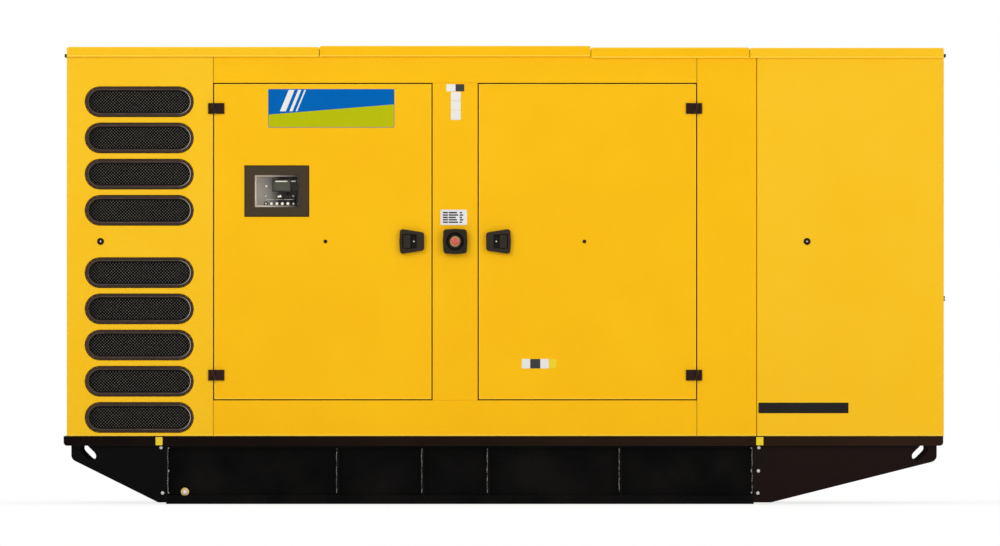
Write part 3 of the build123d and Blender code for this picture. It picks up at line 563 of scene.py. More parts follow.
PLATE = Finish("brushed data plate", (0.74, 0.74, 0.74), (0.62, 0.62, 0.62), (0.3, 0.45), Grain.BRUSHED,
               1400.0, 0.00003, metallic=0.9, edge_radius=0.0006, edge_colour=(0.85, 0.85, 0.84),
               edge_amount=0.5)
# Pale spots on the weld beads: painted glints.
WELD_GLINT = Finish("weld bead, painted glints", (0.5, 0.48, 0.44), (0.0, 0.0, 0.0), (0.4, 0.6), Grain.CAST, 900.0, 0.0001,
              drift_scale=70.0, specular=0.1, edge_radius=0.0006)

# Lighter than the yellow: painted highlight along folded edges.
YELLOW_EDGE_HIGHLIGHT = Finish("yellow powder coat, folded edge", srgb(255, 214, 62), srgb(252, 206, 48), (0.3, 0.38),
                     grain_depth=0.00004, specular=0.3, edge_radius=0.001)
SEALANT = Finish("seam sealant", srgb(206, 158, 22), srgb(196, 148, 20), (0.5, 0.6), Grain.MOULDED, 700.0,
                 0.00005, specular=0.2, edge_radius=0.0006)
FOAM_GREY = Finish("quilted sound lining", (0.03, 0.03, 0.031), (0.045, 0.044, 0.043), (0.8, 0.92),
                   Grain.FOAM, 900.0, 0.0004, specular=0.15, dust=0.1)
OIL_CAP = Finish("yellow filler cap", (0.75, 0.42, 0.02), (0.68, 0.36, 0.02), (0.35, 0.45), Grain.MOULDED,
                 900.0, 0.00003, edge_radius=0.001)
FINS = Finish("bare aluminium fins", (0.32, 0.33, 0.33), (0.22, 0.22, 0.21), (0.35, 0.5), Grain.BRUSHED,
              1500.0, 0.00004, metallic=0.8, edge_radius=0.0006, dust=0.1)
STEEL_DARK = Finish("dark wire mesh", (0.03, 0.03, 0.03), (0.05, 0.05, 0.048), (0.35, 0.5), Grain.BRUSHED,
                    1500.0, 0.00002, metallic=0.5, edge_radius=0.0004)
# Black liner in recesses and round the inlet meshes: painted shade.
LINER_SHADE = Finish("black liner, painted shade", (0.004, 0.004, 0.004), (0.008, 0.007, 0.007), (0.5, 0.65), Grain.MOULDED,
               1200.0, 0.00004, specular=0.15, edge_radius=0.0008)

NODE_FINISHES: dict[Finish, tuple[str, ...]] = {
    YELLOW: ("headers", "sills", "centre_post_front", "centre_post_back", "door_left", "door_right",
             "back_doors", "side_panels", "roof_section_2", "roof_section_3"),
    YELLOW_ENDS_LIT: ("vent_panel_front", "vent_panel_back", "end_panels", "end_wall_left", "end_wall_right",
                   "roof_section_1", "roof_section_4"),
    SKID: ("side_beam_front", "side_beam_back", "fuel_tank", "floor_deck"),
    SKID_WING_LIT_RIGHT: ("wings_left", "wings_right"),
    RAIL_LIT_RIGHT: ("side_rails", "end_rails"),
    MOULDED: ("back_door_handles", "door_left_handle", "door_left_paddle", "door_right_handle",
              "door_right_paddle"),
    MOULDED_DARK: ("stop_housing", "air_filter"),
    BEZEL: ("vent_grilles_front", "vent_grilles_back"),
    FRAME_BROWN: ("window_frame",),
    HINGE_BLACK: ("hinge_frame_leaves", "back_door_hinges", "door_left_hinges", "door_right_hinges"),
    SEAL: ("end_strips",),
    FIXING: ("panel_locks",),
    DARK_STEEL: ("outlet_grille", "bearers", "radiator"),
    BRASS: ("drain_plug",),
    GOLD: ("stop_ring",),
    RED: ("stop_button",),
    CABINET: ("control_cabinet",),
    ENGINE: ("engine",),
    ALTERNATOR: ("alternator",),
    RUBBER: ("rubber_mounts",),
    FAN: ("fan",),
    EXHAUST: ("exhaust",),
    PANE: ("window_pane",),
}


def dress_nodes() -> None:
    """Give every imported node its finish."""
    for finish, names in NODE_FINISHES.items():
        for name in names:
            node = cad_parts[name]
            node.data.materials.clear()
            node.data.materials.append(finish.build())
    dressed = {name for names in NODE_FINISHES.values() for name in names}
    LOG.info("dressed %d nodes, left plain: %s", len(dressed), sorted(set(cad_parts) - dressed))


# The workbench


def clear_selection() -> None:
    """Deselect everything, so that an operator acts on its own piece alone."""
    bpy.ops.object.select_all(action="DESELECT")


def take(*pieces: Piece) -> None:
    """Select some pieces, the first one active.

    Args:
        pieces: what to select.
    """
    clear_selection()
    for piece in pieces:
        piece.select_set(True)
    bpy.context.view_layer.objects.active = pieces[0]


def settle(piece: Piece) -> Piece:
    """Put a piece's place into its mesh.

    Args:
        piece: the piece.

    Returns:
        The same piece, at the origin, unturned and unscaled.
    """
    take(piece)
    bpy.ops.object.transform_apply(location=True, rotation=True, scale=True)
    return piece


def start_box(name: str, low: Point, high: Point) -> Piece:
    """Add a cube at its size and place.

    Args:
        name: the piece's name.
        low: its lowest corner.
        high: its highest corner.

    Returns:
        The piece.
    """
    clear_selection()
    middle = [(a + b) / 2 for a, b in zip(low, high)]
    size = [b - a for a, b in zip(low, high)]
    bpy.ops.mesh.primitive_cube_add(size=1.0, location=middle, scale=size)
    bpy.context.object.name = name
    return settle(bpy.context.object)


def start_drum(name: str, middle: Point, radius: float, depth: float, axis: Axis = Axis.Z,
               sides: int = 24) -> Piece:
    """Add a cylinder at its size and place.

    Args:
        name: the piece's name.
        middle: its middle.
        radius: its radius.
        depth: its length.
        axis: what it points along.
        sides: how many sides it has.

    Returns:
        The piece.
    """
    clear_selection()
    bpy.ops.mesh.primitive_cylinder_add(vertices=sides, radius=radius, depth=depth, location=middle,
                                        rotation=axis.value)
    bpy.context.object.name = name
    return settle(bpy.context.object)


class Bench:
    """Edit mode on one piece: faces or edges are picked by their place, then worked on."""

    def __init__(self, piece: Piece) -> None:
        """Keep the piece."""
        self.piece = piece

    def __enter__(self) -> "Bench":
        """Open the piece with nothing picked."""
        take(self.piece)
        bpy.ops.object.mode_set(mode="EDIT")
        bpy.ops.mesh.select_mode(type="FACE")
        bpy.ops.mesh.select_all(action="DESELECT")
        return self

    def __exit__(self, *problem: object) -> None:
        """Close the piece."""
        bpy.ops.object.mode_set(mode="OBJECT")

    def faces(self, test: FaceTest) -> "Bench":
        """Pick faces.

        Args:
            test: says yes or no to a face's middle and normal.

        Returns:
            The bench.
        """
        bpy.ops.mesh.select_mode(type="FACE")
        mesh = bmesh.from_edit_mesh(self.piece.data)
        for face in mesh.faces:
            face.select_set(test(face.calc_center_median(), face.normal))
        bmesh.update_edit_mesh(self.piece.data)
        return self

    def edges(self, test: FaceTest) -> "Bench":
        """Pick edges.

        Args:
            test: says yes or no to an edge's middle and direction.

        Returns:
            The bench.
        """
        bpy.ops.mesh.select_mode(type="EDGE")
        mesh = bmesh.from_edit_mesh(self.piece.data)
        for edge in mesh.edges:
            start, end = (corner.co for corner in edge.verts)
            edge.select_set(test((start + end) / 2, (end - start).normalized()))
        bmesh.update_edit_mesh(self.piece.data)
        return self

    def inset(self, width: float, depth: float = 0.0, each: bool = False) -> "Bench":
        """Inset the picked faces.

        Args:
            width: how far in.
            depth: how far out along the normal.
            each: whether every face is inset on its own.

        Returns:
            The bench.
        """
        bpy.ops.mesh.inset(thickness=width, depth=depth, use_individual=each)
        return self

    def push(self, offset: Point) -> "Bench":
        """Extrude the picked faces.

        Args:
            offset: where to.

        Returns:
            The bench.
        """
        bpy.ops.mesh.extrude_region_move(TRANSFORM_OT_translate={"value": offset})
        return self

    def grow(self, factors: Point, middle: Point) -> "Bench":
        """Scale what is picked.

        Args:
            factors: how much along each axis.
            middle: about which point.

        Returns:
            The bench.
        """
        bpy.ops.transform.resize(value=factors, center_override=middle)
        return self

    def bevel(self, width: float, steps: int = 1) -> "Bench":
        """Bevel the picked edges.

        Args:
            width: its width.
            steps: how many segments.

        Returns:
            The bench.
        """
        bpy.ops.mesh.bevel(offset=width, segments=steps, affect="EDGES", clamp_overlap=True)
        return self

    def drop(self) -> "Bench":
        """Delete the picked faces."""
        bpy.ops.mesh.delete(type="FACE")
        return self

    def everything(self) -> "Bench":
        """Pick every face."""
        return self.faces(lambda middle, normal: True)

    def front(self) -> "Bench":
        """Pick the faces that look to the front."""
        return self.faces(lambda middle, normal: normal.y < -ALONG)

    def top(self) -> "Bench":
        """Pick the faces that look up."""
        return self.faces(lambda middle, normal: normal.z > ALONG)

    def upright(self) -> "Bench":
        """Pick the faces that stand upright."""
        return self.faces(lambda middle, normal: abs(normal.z) < 1.0 - ALONG)


def soften(piece: Piece, width: float, steps: int = 1, angle: float = 35.0) -> Piece:
    """Bevel a piece's sharp edges and apply it.

    Args:
        piece: the piece.
        width: the bevel's width.
        steps: its segments.
        angle: the sharpest edge that stays, in degrees.

    Returns:
        The same piece.
    """
    take(piece)
    bevel = piece.modifiers.new("soften", "BEVEL")
    bevel.width = width
    bevel.segments = steps
    bevel.limit_method = "ANGLE"
    bevel.angle_limit = math.radians(angle)
    bpy.ops.object.modifier_apply(modifier=bevel.name)
    return piece


def smooth(piece: Piece, angle: float = 35.0) -> Piece:
    """Shade a piece smooth, but for its sharp edges.

    Args:
        piece: the piece.
        angle: the sharpest smooth edge, in degrees.

    Returns:
        The same piece.
    """
    take(piece)
    bpy.ops.object.shade_smooth_by_angle(angle=math.radians(angle))
    return piece


def copied(piece: Piece, name: str, place: Matrix) -> Piece:
    """Copy a piece with a mesh of its own.

    Args:
        piece: what to copy.
        name: the copy's name.
        place: where the copy goes, in its mesh.

    Returns:
        The copy.
    """
    twin = piece.copy()
    twin.data = piece.data.copy()
    twin.name = name
    twin.data.transform(place)
    if place.determinant() < 0:
        twin.data.flip_normals()
    bpy.context.scene.collection.objects.link(twin)
    return twin


def join(name: str, pieces: Iterable[Piece]) -> Piece:
    """Join pieces into one.

    Args:
        name: the joined piece's name.
        pieces: what to join.

    Returns:
        The joined piece.
    """
    parts = list(pieces)
    take(*parts)
    if len(parts) > 1:
        bpy.ops.object.join()
    parts[0].name = name
    return parts[0]


def repeat(piece: Piece, name: str, places: Iterable[Matrix]) -> Piece:
    """Copy a piece to many places, and join the copies in its stead.

    Args:
        piece: what repeats.
        name: the joined piece's name.
        places: where each copy goes.

    Returns:
        The joined piece.
    """
    copies = [copied(piece, f"{name}_{number}", place) for number, place in enumerate(places)]
    bpy.data.objects.remove(piece)
    return join(name, copies)


def shift(x: float, y: float, z: float) -> Matrix:
    """Give a plain move.

    Args:
        x: along the set.
        y: to the back.
        z: up.

    Returns:
        Its matrix.
    """
    return Matrix.Translation((x, y, z))


def to_side(side: Side) -> Matrix:
    """Give the move from the front to a side.

    Args:
        side: which side.

    Returns:
        The identity or a mirror in Y.
    """
    return Matrix.Diagonal((1.0, -float(side.value), 1.0, 1.0))


def finished(piece: Piece, finish: Finish, body: str = "set") -> Piece:
    """Dress a piece, let it ride and report it.

    Args:
        piece: the piece, in place.
        finish: its finish.
        body: the body it moves with.

    Returns:
        The same piece.
    """
    piece.data.materials.clear()
    piece.data.materials.append(finish.build())
    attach(piece, body)
    piece.data.calc_loop_triangles()
    LOG.info("%s rides on %s, %d triangles", piece.name, body, len(piece.data.loop_triangles))
    return piece


# The pieces


def start_frame(name: str, low: Point, high: Point, width: float, along: int = 1) -> Piece:
    """Add a box and open it into a frame.

    Args:
        name: the piece's name.
        low: its lowest corner.
        high: its highest corner.
        width: how wide its bars are.
        along: the axis that one looks through it, 0 to 2.

    Returns:
        The piece.
    """
    piece = start_box(name, low, high)
    with Bench(piece) as bench:
        bench.faces(lambda middle, normal: abs(normal[along]) > 0.9).inset(width).drop()
        bpy.ops.mesh.select_mode(type="EDGE")
        bpy.ops.mesh.select_non_manifold()
        bpy.ops.mesh.bridge_edge_loops()
        bpy.ops.mesh.select_all(action="SELECT")
        bpy.ops.mesh.normals_make_consistent(inside=False)
    return piece


def start_obround(name: str, middle: Point, length: float, height: float, depth: float,
                  steps: int = 12) -> Piece:
    """Add a box that faces the front and round its ends.

    Args:
        name: the piece's name.
        middle: its middle.
        length: its length along X.
        height: its height, which is also the width of its round ends.
        depth: its depth along Y.
        steps: how many segments each rounded corner has.

    Returns:
        The piece.
    """
    half = Vector((length / 2, depth / 2, height / 2))
    piece = start_box(name, tuple(Vector(middle) - half), tuple(Vector(middle) + half))
    with Bench(piece) as bench:
        bench.edges(lambda spot, way: abs(way.y) > ALONG).bevel(height * 0.4999, steps)
    return piece


def hex_bolt(name: str, middle: Point, size: float, axis: Axis, washer: bool = True) -> Piece:
    """Model a hexagon head on a washer, which points both ways along its axis.

    Args:
        name: the piece's name.
        middle: its middle.
        size: the head's width across corners.
        axis: what it points along.
        washer: whether it has one.

    Returns:
        The piece.
    """
    head = start_drum(name, middle, size / 2, size * 0.45, axis, 6)
    soften(head, size * 0.05)
    if not washer:
        return head
    disc = start_drum(name + "_washer", middle, size * 0.62, size * 0.16, axis, 16)
    return join(name, (head, disc))


@dataclass
class InletMeshes:
    """The mesh with staggered diamond holes in every air inlet, and the black foam behind it."""

    middle_x: float = -1.868
    length: float = 0.5135
    height: float = 0.114
    lowest: float = 0.442
    highest: float = 2.053
    step: float = 0.1847
    front: float = -0.739
    thickness: float = 0.0035
    foam: tuple[float, float] = (-0.7275, -0.7218)
    pitch: float = 0.0111
    hole: float = 0.0094
    knot: float = 0.0030
    knot_rise: float = 0.0006

    def levels(self) -> list[float]:
        """Give the height of each inlet's middle: five low ones, then four high ones."""
        low = [self.lowest + self.step * number for number in range(5)]
        return low + [self.highest - self.step * number for number in range(4)]

    def sheet(self) -> Piece:
        """Model one mesh: a grid on its corner, opened and trimmed to the inlet's round ends.

        Returns:
            The mesh, at height 0.
        """
        cells = math.ceil((self.length + self.height) / math.sqrt(2) / self.pitch) + 1
        clear_selection()
        bpy.ops.mesh.primitive_grid_add(x_subdivisions=cells, y_subdivisions=cells, size=cells * self.pitch,
                                        location=(self.middle_x, self.front, 0.0),
                                        rotation=(math.pi / 2, math.pi / 4, 0.0))
        sheet = settle(bpy.context.object)
        reach = (self.length / 2 + self.pitch, self.height / 2 + self.pitch)
        with Bench(sheet) as bench:
            bench.faces(lambda middle, normal: abs(middle.x - self.middle_x) > reach[0]
                        or abs(middle.z) > reach[1])
            bench.drop()
            bench.everything().inset((self.pitch - self.hole) / 2, each=True).drop()
            bpy.ops.mesh.select_all(action="SELECT")
            bpy.ops.mesh.normals_make_consistent(inside=False)
        take(sheet)
        solid = sheet.modifiers.new("solid", "SOLIDIFY")
        solid.thickness = self.thickness
        solid.offset = 0.0
        bpy.ops.object.modifier_apply(modifier=solid.name)
        cutter = start_obround("cutter", (self.middle_x, self.front, 0.0), self.length, self.height, 0.05, 10)
        take(sheet)
        trim = sheet.modifiers.new("trim", "BOOLEAN")
        trim.operation = "INTERSECT"
        trim.object = cutter
        bpy.ops.object.modifier_apply(modifier=trim.name)
        bpy.data.objects.remove(cutter)
        return sheet

    def knots(self) -> Piece:
        """Model the raised knots where the strands of one mesh cross, on a grid moved by half a cell.

        Returns:
            The knots, at height 0.
        """
        cells = math.ceil((self.length + self.height) / math.sqrt(2) / self.pitch) + 2
        clear_selection()
        bpy.ops.mesh.primitive_grid_add(x_subdivisions=cells, y_subdivisions=cells, size=cells * self.pitch,
                                        location=(self.middle_x, self.front - self.thickness / 2, 0.0),
                                        rotation=(math.pi / 2, math.pi / 4, 0.0))
        knots = settle(bpy.context.object)
        straight = (self.length - self.height) / 2
        reach = self.height / 2 - self.knot

        def outside(middle: Vector, normal: Vector) -> bool:
            """Tell whether a knot would stand past the mesh's round outline."""
            past = max(abs(middle.x - self.middle_x) - straight, 0.0)
            return math.hypot(past, middle.z) > reach

        with Bench(knots) as bench:
            bench.faces(outside).drop()
            bench.everything().inset((self.pitch - self.knot) / 2, each=True)
            bpy.ops.mesh.select_all(action="INVERT")
            bench.drop()
        take(knots)
        solid = knots.modifiers.new("solid", "SOLIDIFY")
        solid.thickness = self.knot_rise * 2
        solid.offset = 0.0
        bpy.ops.object.modifier_apply(modifier=solid.name)
        with Bench(knots) as bench:
            bpy.ops.mesh.select_all(action="SELECT")
            bpy.ops.mesh.normals_make_consistent(inside=False)
            bench.front().inset(self.knot / 5, self.knot_rise / 2, each=True)
        return knots

    def rim(self) -> Piece:
        """Model the band that holds one mesh.

        Returns:
            The band, at height 0.
        """
        rim = start_obround("rim", (self.middle_x, self.front - 0.001, 0.0), self.length, self.height,
                            self.thickness + 0.003, 10)
        with Bench(rim) as bench:
            bench.faces(lambda middle, normal: abs(normal.y) > ALONG).inset(0.0035).drop()
            bpy.ops.mesh.select_mode(type="EDGE")
            bpy.ops.mesh.select_non_manifold()
            bpy.ops.mesh.bridge_edge_loops()
            bpy.ops.mesh.select_all(action="SELECT")
            bpy.ops.mesh.normals_make_consistent(inside=False)
        return rim

    def build(self) -> None:
        """Model a mesh and its foam once, and fit them to both sides."""
        sheet = self.sheet()
        rim = self.rim()
        knots = self.knots()
        pad = start_obround("pad", (self.middle_x, sum(self.foam) / 2, 0.0), self.length - 0.009,
                            self.height - 0.009, self.foam[1] - self.foam[0], 8)
        with Bench(pad) as bench:
            bench.front().inset(0.004, 0.0015)
        for side in Side:
            places = [to_side(side) @ shift(0.0, 0.0, level) for level in self.levels()]
            meshes = [copied(sheet, f"inlet_mesh_{side.name.lower()}_{n}", place) for n,
                      place in enumerate(places)]
            foams = [copied(pad, f"inlet_foam_{side.name.lower()}_{n}", place) for n,
                     place in enumerate(places)]
            rims = [copied(rim, f"inlet_rim_{side.name.lower()}_{n}", place) for n,
                    place in enumerate(places)]
            crossings = [copied(knots, f"inlet_knots_{side.name.lower()}_{n}", place)
                         for n, place in enumerate(places)]
            finished(join(f"inlet_meshes_{side.name.lower()}", meshes), MESH_BLACK)
            # The knots are lighter than the strands: painted highlight, darker at the left end as painted
            # shade.
            finished(join(f"inlet_knots_{side.name.lower()}", crossings), MESH_KNOT_HIGHLIGHT)
            finished(join(f"inlet_foam_{side.name.lower()}", foams), FOAM)
            # Black rims: painted shade at the edge of each recess.
            finished(join(f"inlet_rims_{side.name.lower()}", rims), LINER_SHADE)
        for start in (sheet, pad, rim, knots):
            bpy.data.objects.remove(start)


@dataclass
class DoorSeals:
    """The rubber gaskets behind the doors' edges, front and back, amber-brown to paint the light that falls
    into the door gaps.
    """

    openings: tuple = ((-1.491, -0.371), (-0.141, 0.979))
    low: float = 0.529
    high: float = 2.149
    front: float = -0.7085
    back: float = -0.7005
    width: float = 0.016

    def build(self) -> None:
        """Model each gasket and its mirror at the back."""
        for name, (x0, x1) in zip(("left", "right"), self.openings):
            seal = start_frame(name, (x0, self.front, self.low), (x1, self.back, self.high), self.width)
            with Bench(seal) as bench:
                bench.front().inset(0.0045).push((0.0, 0.003, 0.0))
            soften(seal, 0.0015, 2)
            for side in Side:
                finished(copied(seal, f"door_seal_{name}_{side.name.lower()}", to_side(side)), SEAL_GAP_LIGHT)
            bpy.data.objects.remove(seal)


@dataclass
class Controller:
    """The control panel behind the window: a face and trim graded from lit at the left to shaded at the right
    as painted light, screen, buttons and lamps.
    """

    middle: tuple[float, float] = (-1.166, 1.597)
    size: tuple[float, float] = (0.222, 0.160)
    face: float = -0.712
    base: float = -0.7042
    screen: tuple[float, float, float, float] = (-1.183, -1.100, 1.6005, 1.6505)
    button_level: float = 1.533
    button_first: float = -1.222
    button_step: float = 0.02806
    button_radius: float = 0.0072
    lamps: tuple = ((-1.2197, 1.6223, 0.0042), (-1.2222, 1.5723, 0.0028), (-1.083, 1.5723, 0.0028))
    rule_level: float = 1.554
    rules: tuple[tuple[float, float], ...] = ((-1.223, -1.180), (-1.172, -1.139), (-1.131, -1.082))
    peaks: tuple[tuple[float, float], ...] = ((-1.157, 0.009), (-1.148, 0.013))
    peak_foot: float = 1.5655
    end_button_share: float = 0.55

    def build(self) -> None:
        """Model the panel's pieces."""
        x, z = self.middle
        half_x, half_z = self.size[0] / 2, self.size[1] / 2
        plate = start_box("controller_plate", (x - half_x, self.face, z - half_z),
                          (x + half_x, self.base, z + half_z))
        with Bench(plate) as bench:
            bench.front()
            bench.inset(0.003).push((0.0, -0.0012, 0.0)).inset(0.0015).inset(0.004).push((0.0, 0.0016, 0.0))
        soften(plate, 0.0008, 2)
        # The face and the trim are graded from lit at the left to shaded at the right: painted light.
        finished(plate, CONTROL_FACE_LIT_LEFT)
        trim = start_frame("controller_trim", (x - half_x - 0.001, self.face - 0.0035, z - half_z - 0.001),
                           (x + half_x + 0.001, self.face + 0.001, z + half_z + 0.001), 0.0075)
        finished(soften(trim, 0.0015, 2), CONTROL_TRIM_LIT_LEFT)
        gasket = start_frame("window_gasket", (x - 0.1655, -0.7510, z - 0.1315),
                             (x + 0.1655, -0.7495, z + 0.1315), 0.005)
        finished(soften(gasket, 0.0004), GASKET_AND_SHADOW_LINE, "left_door")
        self.build_screen()
        self.build_buttons()
        self.build_marks()

    def build_screen(self) -> None:
        """Model the screen in its raised surround."""
        x0, x1, z0, z1 = self.screen
        surround = start_frame("controller_surround", (x0 - 0.006, self.face - 0.0022, z0 - 0.006),
                               (x1 + 0.006, self.face + 0.001, z1 + 0.006), 0.006)
        finished(soften(surround, 0.0009, 2), MOULDED)
        screen = start_box("controller_screen", (x0, self.face - 0.0006, z0), (x1, self.face + 0.001, z1))
        with Bench(screen) as bench:
            bench.front().inset(0.002).push((0.0, -0.0004, 0.0))
        finished(screen, SCREEN)
        bars = []
        for name, low, high in (("bar", (x0 + 0.009, z1 - 0.006), (x1 - 0.012, z1 - 0.001)),
                                ("bar_right", (x1 + 0.008, z1 - 0.005), (x1 + 0.030, z1 - 0.001))):
            bar = start_box(name, (low[0], self.face - 0.0030, low[1]),
                            (high[0], self.face - 0.0008, high[1]))
            with Bench(bar) as bench:
                bench.edges(lambda middle, way: abs(way.y) > ALONG).bevel(0.0015, 2)
            bars.append(bar)
        finished(join("controller_screen_bars", bars), LAMP_WHITE_AND_GLOW)
        field = start_box("controller_side_field", (x1 + 0.005, self.face - 0.0008, z0 + 0.002),
                          (x1 + 0.037, self.face + 0.001, z1 - 0.009))
        with Bench(field) as bench:
            bench.edges(lambda middle, way: abs(way.y) > ALONG).bevel(0.002, 2)
        finished(field, LABEL_BLACK)

    def build_buttons(self) -> None:
        """Model the round buttons in their wells."""
        button = start_drum("button_cap", (0.0, self.face - 0.0005, self.button_level), self.button_radius,
                            0.006, Axis.Y, 20)
        with Bench(button) as bench:
            bench.front().inset(0.0014, 0.0008).inset(0.002).push((0, 0.0006, 0))
        well = start_drum("button_well", (0.0, self.face + 0.0005, self.button_level),
                          self.button_radius + 0.0035, 0.0042, Axis.Y, 20)
        with Bench(well) as bench:
            bench.front().inset(0.0014).push((0.0, 0.0012, 0.0))
        places = [shift(self.button_first + self.button_step * n, 0.0, 0.0) for n in range(6)]
        finished(repeat(smooth(well), "controller_wells", places), MOULDED_DARK)
        share = self.end_button_share
        small = shift(0.0, 0.0, self.button_level) @ Matrix.Diagonal((share, 1.0, share, 1.0))
        small = small @ shift(0.0, 0.0, -self.button_level)
        caps = [place @ small if number in (0, 5) else place for number, place in enumerate(places)]
        # The buttons glow as the lamps do: painted light.
        finished(repeat(smooth(button), "controller_buttons", caps), LAMP_WHITE_AND_GLOW)

    def build_marks(self) -> None:
        """Model the small lamps, the thin rule and a plain two-peak mark."""
        lamps = []
        for number, (x, z, radius) in enumerate(self.lamps):
            lamp = start_drum(f"lamp_{number}", (x, self.face, z), radius, 0.005, Axis.Y, 16)
            with Bench(lamp) as bench:
                bench.front().inset(radius * 0.4, 0.0012)
            lamps.append(smooth(lamp))
        finished(join("controller_lamps", lamps), LAMP_WHITE_AND_GLOW)
        rules, peaks = [], []
        for number, (x0, x1) in enumerate(self.rules):
            rule = start_box(f"rule_{number}", (x0, self.face - 0.0004, self.rule_level - 0.0011),
                             (x1, self.face + 0.002, self.rule_level + 0.0011))
            rules.append(soften(rule, 0.0003))
        for number, (x, height) in enumerate(self.peaks):
            peak = start_box(f"peak_{number}", (x - 0.007, self.face - 0.0004, self.peak_foot),
                             (x + 0.007, self.face + 0.002, self.peak_foot + height))
            with Bench(peak) as bench:
                bench.top().grow((0.25, 1.0, 1.0), (x, 0.0, self.peak_foot + height))
            peaks.append(peak)
        # The two-peak mark glows as the lamps do: painted light.
        finished(join("controller_peaks", peaks), LAMP_WHITE_AND_GLOW)
        finished(join("controller_marks", rules), PRINT_GREY)


@dataclass
class Sticker:
    """One thin label, blank, on a flat face of the front."""

    name: str
    x: tuple[float, float]
    z: tuple[float, float]
    finish: Finish
    body: str = "set"
    face: float = -0.750
    thick: float = 0.0006
    corner: float = 0.003
    slot: str = "pane"

    def build(self) -> Piece:
        """Model it with round corners and a rolled edge.

        Returns:
            The label.
        """
        label = start_box(self.name, (self.x[0], self.face - self.thick, self.z[0]),
                          (self.x[1], self.face + 0.0002, self.z[1]))
        with Bench(label) as bench:
            bench.edges(lambda middle, way: abs(way.y) > ALONG).bevel(self.corner, 3)
            bench.front().inset(self.thick * 1.5, self.thick * 0.3)
        return finished(label, self.finish, self.body)


@dataclass
class Labels:
    """The blank labels, the two-tone panel on the left door and the data plate."""

    panel_x: tuple[float, float] = (-1.2099, -0.566)
    panel_z: tuple[float, float] = (1.9213, 2.1177)
    plate_x: tuple[float, float] = (-0.3307, -0.1954)
    plate_z: tuple[float, float] = (1.4237, 1.5023)

    def build(self) -> None:
        """Model every label."""
        for sticker in (
            Sticker("label_top_white", (-0.301, -0.254), (2.1060, 2.1425), LABEL_WHITE),
            Sticker("label_top_grey", (-0.2535, -0.2092), (2.1060, 2.1425), LABEL_GREY),
            Sticker("label_column_top", (-0.2776, -0.2276), (2.0580, 2.1030), LABEL_WHITE),
            Sticker("label_column_middle", (-0.2776, -0.2276), (2.0100, 2.0565), LABEL_WHITE),
            Sticker("label_column_low", (-0.2776, -0.2276), (1.9606, 2.0085), LABEL_WHITE),
            Sticker("label_door_white", (0.0842, 0.1265), (0.692, 0.7404), LABEL_WHITE, "right_door"),
            Sticker("label_door_grey", (0.1275, 0.1781), (0.692, 0.7404), LABEL_GREY, "right_door"),
            Sticker("label_door_pale", (0.1796, 0.2220), (0.692, 0.7404), LABEL_WHITE, "right_door"),
            Sticker("label_door_yellow", (0.2235, 0.2603), (0.692, 0.7404), LABEL_YELLOW, "right_door"),
            Sticker("label_strip", (1.2915, 1.7513), (0.4634, 0.5174), LABEL_BLACK),
            Sticker("label_rail_left", (-1.7845, -1.7493), (0.3000, 0.3419), LABEL_YELLOW, face=-0.756),
            Sticker("label_rail_right", (1.2808, 1.3170), (0.3000, 0.3419), LABEL_YELLOW, face=-0.756),
        ):
            sticker.build()
        self.build_panel()
        self.build_plate()

    def build_panel(self) -> None:
        """Model the blue panel with its green foot and pale slanted bands, a plain design."""
        Sticker("door_panel_blue", self.panel_x, self.panel_z, PANEL_BLUE, "left_door").build()
        x0, x1 = self.panel_x
        z0, z1 = self.panel_z
        foot = start_box("door_panel_green", (x0 + 0.002, -0.7512, z0 + 0.002),
                         (x1 - 0.002, -0.7503, z0 + 0.066))
        with Bench(foot) as bench:
            bench.edges(lambda middle, way: abs(way.y) > ALONG and middle.z > z0 + 0.05
                        and middle.x > x0 + 0.3)
            bpy.ops.transform.translate(value=(0.0, 0.0, 0.052))
        finished(foot, PANEL_GREEN, "left_door")
        bands = []
        for number, (start, width) in enumerate(((0.060, 0.030), (0.108, 0.016), (0.140, 0.008))):
            band = start_box(f"band_{number}", (x0 + start, -0.7514, z0 + 0.083),
                             (x0 + start + width, -0.7504, z1 - 0.004))
            with Bench(band) as bench:
                bench.top()
                bpy.ops.transform.translate(value=(0.045, 0.0, 0.0))
            bands.append(band)
        finished(join("door_panel_bands", bands), LABEL_WHITE, "left_door")

    def build_plate(self) -> None:
        """Model the blank data plate: a pressed border, empty dark fields and four rivets."""
        x0, x1 = self.plate_x
        z0, z1 = self.plate_z
        plate = start_box("data_plate", (x0, -0.7512, z0), (x1, -0.7498, z1))
        with Bench(plate) as bench:
            bench.edges(lambda middle, way: abs(way.y) > ALONG).bevel(0.004, 3)
        border = start_frame("border", (x0 + 0.0015, -0.7516, z0 + 0.0015),
                             (x1 - 0.0015, -0.751, z1 - 0.0015), 0.0012)
        finished(join("data_plate", (plate, soften(border, 0.0003))), PLATE)
        fields = []
        for row in range(5):
            level = z0 + 0.0145 + 0.0122 * row
            for start, width in ((0.012, 0.026), (0.042, 0.048 - 0.006 * (row % 3)),
                                 (0.098, 0.012 + 0.006 * (row % 2))):
                field = start_box("field", (x0 + start, -0.7515, level - 0.0036), (x0 + start + width, -0.751,
                                                                                  level + 0.0036))
                with Bench(field) as bench:
                    bench.edges(lambda middle, way: abs(way.y) > ALONG).bevel(0.0008, 2)
                fields.append(field)
        finished(join("data_plate_fields", fields), LABEL_BLACK)
        rivet = start_drum("rivet", (0.0, -0.7512, 0.0), 0.0028, 0.0016, Axis.Y, 12)
        with Bench(rivet) as bench:
            bench.front().inset(0.001, 0.0005)
        corners = [shift(x, 0.0, z) for x in (x0 + 0.0045, x1 - 0.0045) for z in (z0 + 0.0045, z1 - 0.0045)]
        finished(repeat(smooth(rivet), "data_plate_rivets", corners), STEEL)


